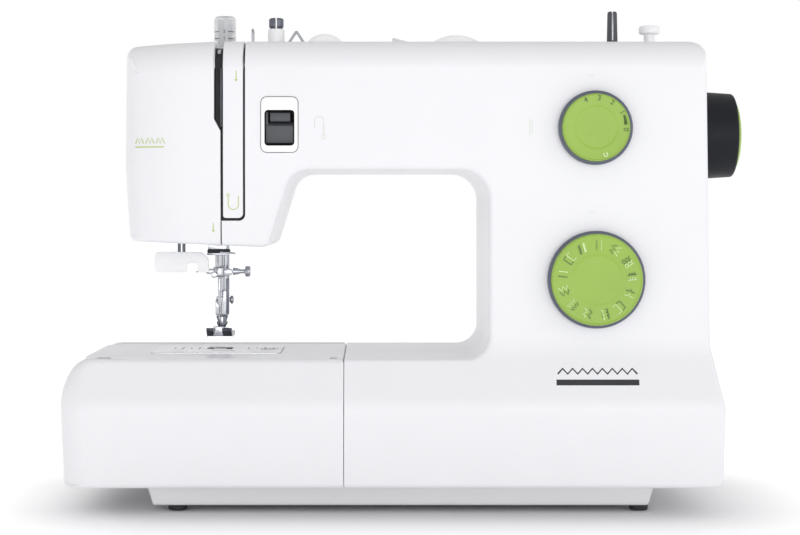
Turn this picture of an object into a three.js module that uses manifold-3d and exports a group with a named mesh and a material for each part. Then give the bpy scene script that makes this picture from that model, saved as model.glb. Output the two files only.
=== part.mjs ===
// Free-arm domestic sewing machine with an accessory tray, built from separate
// casings, an inner frame, two shafts, a motor, the needle and presser bars,
// the hook under the needle plate, and the dials and levers the user turns.
//
// Units are millimetres. +X runs to the handwheel, -Y to the user, +Z up.
// The origin is the centre of the footprint, on the surface it stands on.

import * as THREE from 'three';
import { mergeVertices } from 'three/addons/utils/BufferGeometryUtils.js';
import Module from 'manifold-3d';

const wasm = await Module();
wasm.setup();

// ---------------------------------------------------------------- dimensions

const GAP = 0.3; // clearance between neighbouring pieces
const WALL = 3; // casing thickness

// Heights
const FOOT_HEIGHT = 3.8;
const SKIRT_BOTTOM = 17.2;
const SKIRT_CREASE = 64;
const BED_TOP = 90;
const SLOPE_TOP = 97;
const ARM_UNDERSIDE = 197.5;
const BODY_TOP = 272.5;
const HEAD_BOTTOM = 157;

// Left and right
const LEFT_END = -200.5;
const TRAY_SEAM = -38;
const BASE_RIGHT = 178.5;
const COLUMN_LEFT = 44.5;
const COLUMN_RIGHT = 171.5;
const HEAD_LEFT = -166;
const SLOT_LEFT = -112.5;
const SLOT_RIGHT = -107.3;
const PANEL_RIGHT = -95.2;
const FACE_SEAM = -108.6;
const RIGHT_END = 200.5;

// Front and back
const BASE_FRONT = -82.5;
const BASE_BACK = 82.5;
const BODY_FRONT = -71.5;
const BODY_BACK = 55.5;
const ARM_COVER_FRONT = -57.2;
const ARM_COVER_BACK = 52;

// Axes: each is the place of a shaft or a bar
const SHAFT_Y = -8;
const SHAFT_Z = 220;
const SHAFT_R = 6;
const LOWER_Y = 14;
const LOWER_Z = 58;
const LOWER_R = 5;
const MOTOR_Y = 25;
const MOTOR_Z = 75;
const NEEDLE_X = -114.8;
const NEEDLE_Y = -2.5;
const PRESSER_X = -112;
const PRESSER_Y = 5.5;
const BAR_R = 2.8;
const BAR_CLEARANCE = 0.08;

// The tall shell is split in two where the main shaft runs
const SPLIT_Y = SHAFT_Y;

// ------------------------------------------------------------- solid helpers

function toSolid(geometry) {
  geometry.deleteAttribute('normal');
  geometry.deleteAttribute('uv');
  const merged = mergeVertices(geometry, 1e-4);
  return new wasm.Manifold(new wasm.Mesh({
    numProp: 3,
    vertProperties: Float32Array.from(merged.attributes.position.array),
    triVerts: Uint32Array.from(merged.index.array),
  }));
}

function toGeometry(solid) {
  const mesh = solid.getMesh();
  const geometry = new THREE.BufferGeometry();
  geometry.setAttribute('position', new THREE.BufferAttribute(mesh.vertProperties, 3));
  geometry.setIndex(new THREE.BufferAttribute(mesh.triVerts, 1));
  geometry.computeVertexNormals();
  return geometry;
}

const join = (...solids) => solids.reduce((sum, next) => sum.add(next));
const cut = (solid, ...tools) => tools.reduce((rest, tool) => rest.subtract(tool), solid);
const common = (...solids) => solids.reduce((sum, next) => sum.intersect(next));

function box(x0, x1, y0, y1, z0, z1) {
  const geometry = new THREE.BoxGeometry(x1 - x0, y1 - y0, z1 - z0);
  geometry.translate((x0 + x1) / 2, (y0 + y1) / 2, (z0 + z1) / 2);
  return toSolid(geometry);
}

// A closed outline from corners [a, b, radius], each rounded by its radius.
function outline(corners) {
  const shape = new THREE.Shape();
  const at = (i) => corners[(i + corners.length) % corners.length];
  corners.forEach(([a, b, radius = 0], i) => {
    const corner = new THREE.Vector2(a, b);
    const before = new THREE.Vector2(at(i - 1)[0], at(i - 1)[1]).sub(corner).normalize();
    const after = new THREE.Vector2(at(i + 1)[0], at(i + 1)[1]).sub(corner).normalize();
    if (radius < 0.01) {
      if (i === 0) shape.moveTo(a, b);
      else shape.lineTo(a, b);
      return;
    }
    const half = Math.acos(THREE.MathUtils.clamp(before.dot(after), -1, 1)) / 2;
    const reach = radius / Math.tan(half);
    const start = before.clone().multiplyScalar(reach).add(corner);
    const end = after.clone().multiplyScalar(reach).add(corner);
    const bisector = before.clone().add(after).normalize();
    const centre = bisector.multiplyScalar(radius / Math.sin(half)).add(corner);
    const from = start.sub(centre);
    const to = end.sub(centre);
    if (i === 0) shape.moveTo(centre.x + from.x, centre.y + from.y);
    else shape.lineTo(centre.x + from.x, centre.y + from.y);
    shape.absarc(centre.x, centre.y, radius, from.angle(), to.angle(), before.cross(after) > 0);
  });
  shape.closePath();
  return shape;
}

// The same corners moved inward by a distance; the corners run anticlockwise.
function inset(corners, distance) {
  const count = corners.length;
  const lines = corners.map(([a, b], i) => {
    const [c, d] = corners[(i + 1) % count];
    const length = Math.hypot(c - a, d - b);
    const along = [(c - a) / length, (d - b) / length];
    return { along, point: [a - along[1] * distance, b + along[0] * distance] };
  });
  return corners.map(([, , radius = 0], i) => {
    const first = lines[(i - 1 + count) % count];
    const second = lines[i];
    const turn = first.along[0] * second.along[1] - first.along[1] * second.along[0];
    const gapA = second.point[0] - first.point[0];
    const gapB = second.point[1] - first.point[1];
    const travel = (gapA * second.along[1] - gapB * second.along[0]) / turn;
    const a = first.point[0] + first.along[0] * travel;
    const b = first.point[1] + first.along[1] * travel;
    return [a, b, Math.max(turn > 0 ? radius - distance : radius + distance, 0)];
  });
}

function extrude(shape, depth, segments) {
  return new THREE.ExtrudeGeometry(shape, {
    depth, bevelEnabled: false, curveSegments: segments,
  });
}

// Prisms of an outline drawn in one plane and extruded along the third axis.
function prismXY(corners, z0, z1, segments = 2) {
  const geometry = extrude(outline(corners), z1 - z0, segments);
  return toSolid(geometry.translate(0, 0, z0));
}

function prismXZ(corners, y0, y1, segments = 2) {
  const geometry = extrude(outline(corners), y1 - y0, segments);
  return toSolid(geometry.rotateX(Math.PI / 2).translate(0, y1, 0));
}

function prismYZ(corners, x0, x1, segments = 2) {
  const geometry = extrude(outline(corners), x1 - x0, segments);
  geometry.rotateX(Math.PI / 2).rotateZ(Math.PI / 2);
  return toSolid(geometry.translate(x0, 0, 0));
}

const rectangle = (a0, a1, b0, b1, r = 0) => [[a0, b0, r], [a1, b0, r], [a1, b1, r], [a0, b1, r]];

// A turned piece. Its profile lists [radius, distance along the axis] and
// starts and ends on the axis, or closes on itself when it has a bore.
function turned(profile, axis, [x, y, z], segments = 20) {
  const points = profile.map(([radius, along]) => new THREE.Vector2(radius, along));
  if (THREE.ShapeUtils.area(points) < 0) points.reverse();
  const closesOnItself = profile[0][0] > 0;
  if (closesOnItself) points.push(points[0].clone());
  const geometry = new THREE.LatheGeometry(points, segments);
  if (axis === 'x') geometry.rotateZ(-Math.PI / 2);
  if (axis === 'z') geometry.rotateX(Math.PI / 2);
  return toSolid(geometry.translate(x, y, z));
}

function rod(axis, centre, radius, from, to, segments = 20) {
  return turned([[0, from], [radius, from], [radius, to], [0, to]], axis, centre, segments);
}

function ring(axis, centre, outer, inner, from, to, segments = 20) {
  const profile = [[inner, from], [outer, from], [outer, to], [inner, to]];
  return turned(profile, axis, centre, segments);
}

// ------------------------------------------------------------------ materials

const finish = (color, roughness, metalness = 0) =>
  new THREE.MeshStandardMaterial({ color, roughness, metalness });

const whitePlastic = finish(0xf0f0f5, 0.3);
const clearPlastic = finish(0xe6e8ec, 0.2);
const greenPlastic = finish(0xa3c65e, 0.45);
const ringPlastic = finish(0x586173, 0.4);
const darkPlastic = finish(0x262832, 0.45);
const greyPlastic = finish(0x5f6064, 0.5);
const rubber = finish(0x2b2b2d, 0.9);
const chrome = finish(0xc8cacd, 0.15, 1);
const steel = finish(0x9a9da2, 0.35, 1);
const castMetal = finish(0x8b8e93, 0.6, 1);
const motorMetal = finish(0x6c6f75, 0.5, 1);
const bulbGlass = finish(0xf6f2e2, 0.1);

const machine = new THREE.Group();
machine.name = 'sewing_machine';

function add(name, solid, material) {
  const mesh = new THREE.Mesh(toGeometry(solid), material);
  mesh.name = name;
  machine.add(mesh);
  return mesh;
}

// --------------------------------------------------------------- main casing

// Seen from the front: head, arm, column and the fixed right half of the base.
const bodyFace = [
  [TRAY_SEAM + GAP, SKIRT_BOTTOM, 1],
  [177, SKIRT_BOTTOM, 6],
  [BASE_RIGHT, 62.5, 4],
  [COLUMN_RIGHT, SLOPE_TOP, 8],
  [COLUMN_RIGHT - 2.3, BODY_TOP, 9],
  [SLOT_LEFT, BODY_TOP, 0],
  [HEAD_LEFT + 1, BODY_TOP - 2.6, 6],
  [HEAD_LEFT, 200, 0],
  [HEAD_LEFT + 3, HEAD_BOTTOM, 4],
  [-81.4, HEAD_BOTTOM - 3.6, 5],
  [-67.7, ARM_UNDERSIDE, 13],
  [COLUMN_LEFT, ARM_UNDERSIDE, 16],
  [COLUMN_LEFT, BED_TOP, 13],
  [TRAY_SEAM + GAP, BED_TOP, 1],
];

// Seen from the right: a sloped skirt below, an upright tower above.
const bodySide = [
  [BASE_FRONT, SKIRT_BOTTOM, 3],
  [BASE_BACK, SKIRT_BOTTOM, 3],
  [BASE_BACK, SKIRT_CREASE, 6],
  [BODY_BACK, SLOPE_TOP, 8],
  [BODY_BACK, BODY_TOP, 16],
  [BODY_FRONT, BODY_TOP, 16],
  [BODY_FRONT, SLOPE_TOP, 6],
  [BASE_FRONT, SKIRT_CREASE, 8],
];

// Seen from above: the head's left end curves back from the front.
const bodyPlan = [
  [HEAD_LEFT, -54, 12],
  [-130, BODY_FRONT, 40],
  [-60, BODY_FRONT, 0],
  [-60, BASE_FRONT, 0],
  [BASE_RIGHT, BASE_FRONT, 5],
  [BASE_RIGHT, BASE_BACK, 8],
  [-60, BASE_BACK, 0],
  [-60, BODY_BACK, 0],
  [HEAD_LEFT, BODY_BACK, 12],
];

function bodySolid(wall) {
  return common(
    prismXZ(inset(bodyFace, wall), BASE_FRONT, BASE_BACK),
    prismYZ(inset(bodySide, wall), LEFT_END, RIGHT_END),
    prismXY(inset(bodyPlan, wall), 0, BODY_TOP + WALL),
  );
}

const baseOpening = box(
  TRAY_SEAM + GAP + WALL, 171, BASE_FRONT + WALL, BASE_BACK - WALL, 0, 30);
const armOpening = box(-60, -30, -54, 48, 0, 85);
const headOpening = box(-146, -88, -30, 24, 140, 162);
const casing = cut(bodySolid(0), bodySolid(WALL), baseOpening, armOpening, headOpening);

// Which side of each seam a piece keeps
const FAR = 400;
const faceSide = join(
  box(-FAR, FACE_SEAM - GAP / 2, -20, FAR, 0, FAR),
  prismXZ([
    [-FAR, 0], [FACE_SEAM - GAP / 2, 0], [FACE_SEAM - GAP / 2, 220],
    [SLOT_LEFT, 227], [SLOT_LEFT, FAR], [-FAR, FAR],
  ], -FAR, -19),
);
const rightOfFace = join(
  box(FACE_SEAM + GAP / 2, FAR, -20, FAR, 0, FAR),
  box(FACE_SEAM + GAP / 2, FAR, -FAR, -19, 0, 170.5),
  box(SLOT_RIGHT, FAR, -FAR, -19, 170, FAR),
);
const panelRecess = prismXZ(
  [[-120, 170, 0], [PANEL_RIGHT, 170, 3], [PANEL_RIGHT, FAR, 0], [-120, FAR, 0]], -FAR, -20);
const panelShape = prismXZ([
  [SLOT_RIGHT, 170 + GAP, 1.5], [PANEL_RIGHT - 0.7, 170 + GAP, 2.5],
  [PANEL_RIGHT - 0.7, FAR, 0], [SLOT_RIGHT, FAR, 0],
], -FAR, -20 - GAP);

// Places on the outside of the casing that other pieces pass through
const LENGTH_DIAL = [105.25, 221.8];
const PATTERN_DIAL = [105.75, 135.2];
const LENGTH_RING_R = 21.2;
const PATTERN_RING_R = 27.8;
const DIAL_HUB_R = 7;
const REVERSE = { x0: -85.5, x1: -64.5, z0: 207.9, z1: 239.5 };
const TENSION = { x: -49.8, y: -37.5, r: 13.4, half: 4, rise: 6 };
const WIDTH_WHEEL = { x: 27.4, y: -39, r: 25, half: 5, rise: 5 };
const GUIDE_POST = [-79.2, -22.5];
const WIRE_GUIDE = [-92.8, -32.5];
const SMALL_GUIDE = [-67.2, -22.5];
const WINDER = [122.8, SHAFT_Y - 4];
const WINDER_TRAVEL = 8;
const STOP = [145.2, SHAFT_Y - 4];
const SPOOL_PIN = [92, 34];
const LIFTER = { x: -101 };
const INLET = { y0: 22, y1: 50, z0: 34, z1: 56 };
const SWITCH = { y0: -18, y1: 4, z0: 38, z1: 54 };
const HANDLE = { x0: -58, x1: 58, y0: -6, y1: 40, grip: 12, swing: 2.6 };

const topHole = ([x, y], radius) => rod('z', [x, y, 0], radius, BODY_TOP - 8, BODY_TOP + 5);
const slotFor = ({ x, y, r, half }) =>
  box(x - r - 1, x + r + 1, y - half - 1, y + half + 1, BODY_TOP - 6, BODY_TOP + 5);
const frontHole = ([x, z], radius) => rod('y', [x, 0, z], radius, BODY_FRONT - 5, BODY_FRONT + 6);
const HANDLE_WELL_FLOOR = BODY_TOP - 12.6;
const handleWell = box(
  HANDLE.x0 - 1, HANDLE.x1 + 1, HANDLE.y0 - 1, HANDLE.y1 + HANDLE.swing, HANDLE_WELL_FLOOR,
  BODY_TOP + 5);
const handleTub = cut(
  box(HANDLE.x0 - 3, HANDLE.x1 + 3, HANDLE.y0 - 1.8, HANDLE.y1 + HANDLE.swing + 2,
    HANDLE_WELL_FLOOR - 2, BODY_TOP - 2),
  handleWell,
);

const holes = [
  topHole([PRESSER_X, PRESSER_Y], 7),
  topHole(GUIDE_POST, 3.4),
  topHole(WIRE_GUIDE, 1.2),
  topHole(SMALL_GUIDE, 2.2),
  topHole(WINDER, 4.2),
  box(WINDER[0], WINDER[0] + WINDER_TRAVEL, WINDER[1] - 4.2, WINDER[1] + 4.2, BODY_TOP - 8, FAR),
  topHole([WINDER[0] + WINDER_TRAVEL, WINDER[1]], 4.2),
  topHole(STOP, 3.8),
  topHole(SPOOL_PIN, 3.4),
  slotFor(TENSION),
  slotFor(WIDTH_WHEEL),
  handleWell,
  frontHole(LENGTH_DIAL, DIAL_HUB_R + GAP),
  frontHole(PATTERN_DIAL, DIAL_HUB_R + GAP),
  prismXZ(rectangle(REVERSE.x0 + 1, REVERSE.x1 - 1, REVERSE.z0 + 1, REVERSE.z1 - 1, 2.5),
    BODY_FRONT - 5, BODY_FRONT + 6),
  rod('x', [0, SHAFT_Y, SHAFT_Z], 10, 160, 175),
  box(LIFTER.x - 4, LIFTER.x + 4, 23, BODY_BACK + 4, 144, 194),
  box(165, 182, INLET.y0 - GAP, INLET.y1 + GAP, INLET.z0 - GAP, INLET.z1 + GAP),
  box(165, 182, SWITCH.y0 - GAP, SWITCH.y1 + GAP, SWITCH.z0 - GAP, SWITCH.z1 + GAP),
];
const openCasing = cut(casing, ...holes);
const frontHalf = box(-FAR, FAR, -FAR, SPLIT_Y - GAP / 2, 0, FAR);
const rearHalf = box(-FAR, FAR, SPLIT_Y + GAP / 2, FAR, 0, FAR);

add('front_cover', cut(common(openCasing, rightOfFace, frontHalf), panelRecess), whitePlastic);
add('rear_cover', join(common(openCasing, rightOfFace, rearHalf), handleTub), whitePlastic);
add('face_cover', common(openCasing, faceSide), whitePlastic);
add('thread_channel_cover', common(openCasing, panelShape), whitePlastic);

// ------------------------------------------------------ base plate and feet

const PLATE = { x0: -153, x1: 142, y0: -57.5, y1: 57.5 };
const PLATE_TOP = SKIRT_BOTTOM - GAP;
const plateShape = rectangle(PLATE.x0, PLATE.x1, PLATE.y0, PLATE.y1, 6);
add('base_plate', cut(
  prismXY(plateShape, FOOT_HEIGHT, PLATE_TOP),
  prismXY(inset(plateShape, WALL), FOOT_HEIGHT + WALL, PLATE_TOP + 1),
), whitePlastic);

const FOOT_R = 5.6;
const FOOT_LEFT = -135.5;
const FOOT_RIGHT = 133.5;
const FOOT_Y = 47.5;
const footPlaces = {
  foot_front_left: [FOOT_LEFT, -FOOT_Y],
  foot_front_right: [FOOT_RIGHT, -FOOT_Y],
  foot_rear_left: [FOOT_LEFT, FOOT_Y],
  foot_rear_right: [FOOT_RIGHT, FOOT_Y],
};
for (const [name, [x, y]] of Object.entries(footPlaces)) {
  add(name, turned([
    [0, 0], [FOOT_R - 0.8, 0], [FOOT_R, 0.8], [FOOT_R, FOOT_HEIGHT - GAP], [0, FOOT_HEIGHT - GAP],
  ], 'z', [x, y, 0], 20), rubber);
}

// -------------------------------------------------- free arm and its fittings

const ARM = { x0: -189.8, x1: TRAY_SEAM - GAP, z0: 21, z1: BED_TOP - GAP };
const armPlan = [
  [ARM.x0, ARM_COVER_FRONT, 14], [ARM.x1, ARM_COVER_FRONT, 0],
  [ARM.x1, ARM_COVER_BACK, 0], [ARM.x0, ARM_COVER_BACK, 14],
];
const armInside = armPlan.map(([x, y, r]) => [
  x === ARM.x0 ? x + WALL : x + WALL, y < 0 ? y + WALL : y - WALL, Math.max(r - WALL, 0),
]);
const DOOR = { x0: -152, x1: -80, z0: 28, z1: 80 };
const NEEDLE_PLATE = { x0: -153, x1: -76.7, y0: -32.5, y1: 26, top: BED_TOP + 0.4, thick: 2 };
const plateOutline = rectangle(
  NEEDLE_PLATE.x0, NEEDLE_PLATE.x1, NEEDLE_PLATE.y0, NEEDLE_PLATE.y1, 3);
add('free_arm_cover', cut(
  prismXY(armPlan, ARM.z0, ARM.z1),
  prismXY(armInside, ARM.z0 - 1, ARM.z1 - WALL),
  prismXY(inset(plateOutline, -GAP), NEEDLE_PLATE.top - NEEDLE_PLATE.thick - GAP, FAR),
  prismXY(inset(plateOutline, 4), 80, FAR),
  prismXZ(rectangle(DOOR.x0 - GAP, DOOR.x1 + GAP, DOOR.z0 - GAP, DOOR.z1 + GAP, 3),
    ARM_COVER_FRONT - 1, ARM_COVER_FRONT + WALL + 1),
), whitePlastic);

add('bobbin_door', cut(
  prismXZ(rectangle(DOOR.x0, DOOR.x1, DOOR.z0, DOOR.z1, 3),
    ARM_COVER_FRONT, ARM_COVER_FRONT + 2.4),
  prismXZ(rectangle(-122, -110, 72, 80.5), ARM_COVER_FRONT - 1, ARM_COVER_FRONT + 1),
), whitePlastic);

// The plate has a slot for the needle and three for the feed teeth.
const FEED_ROWS = [[-122, -119], [-110.8, -107.6]];
const FEED_REACH = 2;
const teethSlot = (x0, x1, y0, y1) => box(
  x0 - 0.5, x1 + 0.5, y0 - FEED_REACH - 0.6, y1 + FEED_REACH + 0.6, 80, FAR);
const FEED_BACK = { x0: -117.6, x1: -112, y0: 5.4, y1: 13 };
add('needle_plate', cut(
  prismXY(plateOutline, NEEDLE_PLATE.top - NEEDLE_PLATE.thick, NEEDLE_PLATE.top, 2),
  prismXY(rectangle(NEEDLE_X - 3.4, NEEDLE_X + 3.4, NEEDLE_Y - 1, NEEDLE_Y + 1, 0.9), 80, FAR),
  ...FEED_ROWS.map(([x0, x1]) => teethSlot(x0, x1, -9, 13)),
  teethSlot(FEED_BACK.x0, FEED_BACK.x1, FEED_BACK.y0, FEED_BACK.y1),
), steel);

const FEED_TOP = NEEDLE_PLATE.top - 0.2;
const feedRow = (x0, x1, y0, y1) => {
  const pitch = 2;
  const corners = [[y0, 83], [y1, 83]];
  for (let y = y1; y > y0 + 0.1; y -= pitch) {
    corners.push([y, FEED_TOP - 0.9], [y - pitch * 0.35, FEED_TOP]);
  }
  corners.push([y0, FEED_TOP - 0.9]);
  return prismYZ(corners, x0, x1);
};
add('feed_dog', join(
  cut(box(-122, -107.6, -9, 13, 81, 83.2), box(-118.6, -111.2, -6, 3, 80, 84)),
  ...FEED_ROWS.map(([x0, x1]) => feedRow(x0, x1, -9, 13)),
  feedRow(FEED_BACK.x0, FEED_BACK.x1, FEED_BACK.y0, 13),
), steel);

// --------------------------------------------------- hook, bobbin and its case

const HOOK_FRONT = -34;
const HOOK_BACK = -12;
const hookAxis = [NEEDLE_X, 0, LOWER_Z];
const APEX_GAP = 0.35;
add('hook_race', ring('y', hookAxis, 23.5, 19.4, HOOK_FRONT, HOOK_BACK, 28), steel);
add('hook', join(
  turned([[0, HOOK_BACK - 4], [14, HOOK_BACK - 4], [14, HOOK_FRONT + 1],
    [19, HOOK_FRONT + 1], [19, HOOK_BACK], [0, HOOK_BACK]], 'y', hookAxis, 24),
  rod('y', hookAxis, 3, HOOK_BACK - 1, LOWER_Y - 11, 16),
  turned([[0, LOWER_Y - 14], [6, LOWER_Y - 14], [6, LOWER_Y - 12], [4, LOWER_Y - 8 - APEX_GAP],
    [0, LOWER_Y - 8 - APEX_GAP]], 'y', hookAxis),
), steel);
add('bobbin_case', join(
  turned([[0, -32.5], [13.6, -32.5], [13.6, HOOK_BACK - 5], [11.4, HOOK_BACK - 5],
    [11.4, -30.6], [0, -30.6]], 'y', hookAxis, 24),
  box(NEEDLE_X - 2, NEEDLE_X + 11, -34.4, -32.4, LOWER_Z - 3, LOWER_Z + 3),
), chrome);
add('bobbin', turned([
  [3, -30.2], [10.4, -30.2], [10.4, -29.2], [4.5, -29.2],
  [4.5, -20], [10.4, -20], [10.4, -19], [3, -19],
], 'y', hookAxis, 24), clearPlastic);

// -------------------------------------------------------- accessory tray

const TRAY = { x0: LEFT_END, x1: TRAY_SEAM - GAP, back: 77 };
const trayFace = [
  [TRAY.x0 + 1.5, SKIRT_BOTTOM, 3],
  [TRAY.x1, SKIRT_BOTTOM, 1],
  [TRAY.x1, BED_TOP, 3],
  [TRAY.x0 + 9, BED_TOP, 8],
  [TRAY.x0, 70, 22],
];
const traySide = [
  [BASE_FRONT, SKIRT_BOTTOM, 3],
  [TRAY.back, SKIRT_BOTTOM, 3],
  [TRAY.back, SKIRT_CREASE, 6],
  [TRAY.back - 9, BED_TOP, 3],
  [BASE_FRONT + 9.2, BED_TOP, 4],
  [BASE_FRONT, SKIRT_CREASE, 8],
];
const trayPlan = [
  [TRAY.x0, BASE_FRONT, 16], [TRAY.x1, BASE_FRONT, 0],
  [TRAY.x1, TRAY.back, 0], [TRAY.x0, TRAY.back, 16],
];
const traySolid = (wall) => common(
  prismXZ(inset(trayFace, wall), BASE_FRONT, TRAY.back),
  prismYZ(inset(traySide, wall), TRAY.x0, TRAY.x1),
  prismXY(inset(trayPlan, wall), 0, FAR),
);
const armSpace = prismXY([
  [ARM.x0 - 0.6, ARM_COVER_FRONT - 0.6, 14.5], [TRAY.x1 + 9, ARM_COVER_FRONT - 0.6, 0],
  [TRAY.x1 + 9, ARM_COVER_BACK + 0.6, 0], [ARM.x0 - 0.6, ARM_COVER_BACK + 0.6, 14.5],
], 0, FAR);
const LID = { x0: -172, x1: -46, y0: -72, y1: -60.4, thick: 2 };
const TRAY_FLOOR = SKIRT_BOTTOM + 2.5;
const frontPocket = box(-184, TRAY.x1 - WALL, BASE_FRONT + WALL, ARM_COVER_FRONT - 3, TRAY_FLOOR, 86);
const rearPocket = box(-184, TRAY.x1 - WALL, ARM_COVER_BACK + 3.2, TRAY.back - WALL, 0, 86);
const LID_SWING = 0.6;
const lidOpening = box(
  LID.x0 - GAP, LID.x1 + GAP, LID.y0 - LID_SWING, LID.y1 + GAP, BED_TOP - 5, FAR);
add('accessory_tray', cut(
  traySolid(0),
  armSpace,
  common(traySolid(WALL), frontPocket),
  common(traySolid(WALL), rearPocket),
  rearPocket.intersect(box(-184, FAR, -FAR, FAR, 0, 60)),
  lidOpening,
), whitePlastic);

add('tray_lid', cut(
  box(LID.x0, LID.x1, LID.y0, LID.y1, BED_TOP - LID.thick, BED_TOP),
  box(-118, -100, LID.y1 - 1.2, LID.y1 + 1, BED_TOP - 1, FAR),
), whitePlastic);

// ------------------------------------------------------------- inner frame

const BEARING_PLACES = [[-94, -86], [20, 28], [134, 142]];
const LOWER_BEARINGS = [[-100, -92], [0, 8]];
const PULLEY = { x0: 60, x1: 70, r: 15, beltThick: 1.6 };
const POST = { x0: 76, x1: 86 };
const BUSH = { x0: -123, x1: -104, y0: -10, y1: 18, low: 166, high: 236, tall: 7 };
const mainBore = rod('x', [0, SHAFT_Y, SHAFT_Z], SHAFT_R + BAR_CLEARANCE, -120, 170);
const lowerBore = rod('x', [0, LOWER_Y, LOWER_Z], LOWER_R + BAR_CLEARANCE, -120, 120);
const barBores = [
  rod('z', [NEEDLE_X, NEEDLE_Y, 0], BAR_R + BAR_CLEARANCE, 160, 250),
  rod('z', [PRESSER_X, PRESSER_Y, 0], BAR_R + BAR_CLEARANCE, 160, 250),
];
add('frame_casting', cut(
  join(
    box(-30, 138, -50, 50, 17.4, 21.4),
    box(POST.x0, POST.x1, -40, 45, 21, 250),
    box(BUSH.x0, 146, 12, BUSH.y1, 204, 250),
    ...BEARING_PLACES.map(([x0, x1]) => box(x0, x1, -18, BUSH.y1, 208, 232)),
    box(-150, POST.x1, 32, 38, 32, 74),
    ...LOWER_BEARINGS.map(([x0, x1]) => box(x0, x1, 6, 38, 50, 66)),
    box(-150, -141, -30, 38, 42, 74),
    box(BUSH.x0, BUSH.x1, BUSH.y0, BUSH.y1, BUSH.low, BUSH.low + BUSH.tall),
    box(BUSH.x0, BUSH.x1, BUSH.y0, BUSH.y1, BUSH.high, BUSH.high + BUSH.tall),
    box(BUSH.x0, BUSH.x1, 11, BUSH.y1, BUSH.low, BUSH.high + BUSH.tall),
  ),
  mainBore, lowerBore, ...barBores,
  box(8.5, 60, 0, 60, 28, 48),
), castMetal);

// ------------------------------------------------- shafts, belts and motor

const WHEEL = { x0: 172.6, x1: 195.8, r0: 26.5, r1: 25 };
const CRANK_X = [-104, -98];
const DRIVE = { x0: 148, x1: 156, wheel: 24, motor: 7 };
const flange = (x) => rod('x', [0, SHAFT_Y, SHAFT_Z], DRIVE.wheel + 3, x, x + 2, 24);
add('main_shaft', join(
  rod('x', [0, SHAFT_Y, SHAFT_Z], SHAFT_R, CRANK_X[0] + 1, WHEEL.x0 - GAP),
  rod('x', [0, SHAFT_Y, SHAFT_Z], 17, CRANK_X[0], CRANK_X[1]),
  rod('x', [0, SHAFT_Y, SHAFT_Z], PULLEY.r, PULLEY.x0, PULLEY.x1),
  rod('x', [0, SHAFT_Y, SHAFT_Z], DRIVE.wheel, DRIVE.x0 - 0.1, DRIVE.x1 + 0.1, 24),
  flange(DRIVE.x0 - 2),
  flange(DRIVE.x1),
), steel);

const wheelCentre = [0, SHAFT_Y, SHAFT_Z];
add('handwheel', turned([
  [0, WHEEL.x0], [WHEEL.r0 - 1, WHEEL.x0], [WHEEL.r0, WHEEL.x0 + 1], [WHEEL.r1, WHEEL.x1 - 2.5],
  [WHEEL.r1 - 1, WHEEL.x1 - 0.8], [WHEEL.r1 - 3, WHEEL.x1], [0, WHEEL.x1],
], 'x', wheelCentre, 32), darkPlastic);
add('handwheel_cap', turned([
  [0, WHEEL.x1 + GAP], [21, WHEEL.x1 + GAP], [20, WHEEL.x1 + 1.6], [15, WHEEL.x1 + 3.4],
  [8, RIGHT_END - 0.3], [0, RIGHT_END],
], 'x', wheelCentre, 24), greenPlastic);

add('lower_shaft', join(
  rod('x', [0, LOWER_Y, LOWER_Z], LOWER_R, NEEDLE_X + 8, POST.x1),
  turned([[0, NEEDLE_X + 4 + APEX_GAP], [8, NEEDLE_X + 4 + APEX_GAP], [12, NEEDLE_X + 6],
    [12, NEEDLE_X + 9], [0, NEEDLE_X + 9]], 'x', [0, LOWER_Y, LOWER_Z]),
  rod('x', [0, LOWER_Y, LOWER_Z], PULLEY.r, PULLEY.x0, PULLEY.x1),
), steel);

// A belt is a closed band around two round pulleys, given as [y, z, radius].
function belt([ya, za, ra], [yb, zb, rb], thick, x0, x1) {
  const lean = Math.atan2(zb - za, yb - ya);
  const span = Math.hypot(yb - ya, zb - za);
  const band = (extra) => {
    const turn = Math.acos((ra - rb) / span);
    const shape = new THREE.Shape();
    shape.absarc(ya, za, ra + extra, lean + turn, lean - turn, false);
    shape.absarc(yb, zb, rb + extra, lean - turn, lean + turn, false);
    shape.closePath();
    const geometry = extrude(shape, x1 - x0, 8);
    geometry.rotateX(Math.PI / 2).rotateZ(Math.PI / 2);
    return toSolid(geometry.translate(x0, 0, 0));
  };
  return cut(band(thick + GAP), band(GAP));
}

add('timing_belt', belt(
  [LOWER_Y, LOWER_Z, PULLEY.r], [SHAFT_Y, SHAFT_Z, PULLEY.r],
  PULLEY.beltThick, PULLEY.x0 + GAP + 0.2, PULLEY.x1), rubber);
add('motor_belt', belt(
  [MOTOR_Y, MOTOR_Z, DRIVE.motor], [SHAFT_Y, SHAFT_Z, DRIVE.wheel],
  1.6, DRIVE.x0 + 0.5, DRIVE.x1 - 0.5), rubber);

const MOTOR = { x0: 90, x1: 140, r: 26 };
add('motor', cut(
  join(
    rod('x', [0, MOTOR_Y, MOTOR_Z], MOTOR.r, MOTOR.x0, MOTOR.x1, 24),
    rod('x', [0, MOTOR_Y, MOTOR_Z], 9, MOTOR.x1 - 1, MOTOR.x1 + 4, 20),
    box(MOTOR.x0 + 8, MOTOR.x1 - 8, MOTOR_Y - 18, MOTOR_Y + 18, 21.8, MOTOR_Z - 10),
  ),
  rod('x', [0, MOTOR_Y, MOTOR_Z], 2.6, MOTOR.x1 - 20, MOTOR.x1 + 6, 20),
), motorMetal);
add('motor_pulley', join(
  rod('x', [0, MOTOR_Y, MOTOR_Z], 2.5, MOTOR.x1 - 18, DRIVE.x1 + 2, 20),
  rod('x', [0, MOTOR_Y, MOTOR_Z], DRIVE.motor, DRIVE.x0 - 1, DRIVE.x1 + 1, 24),
), steel);

// --------------------------------------------------- needle and presser bars

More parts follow.
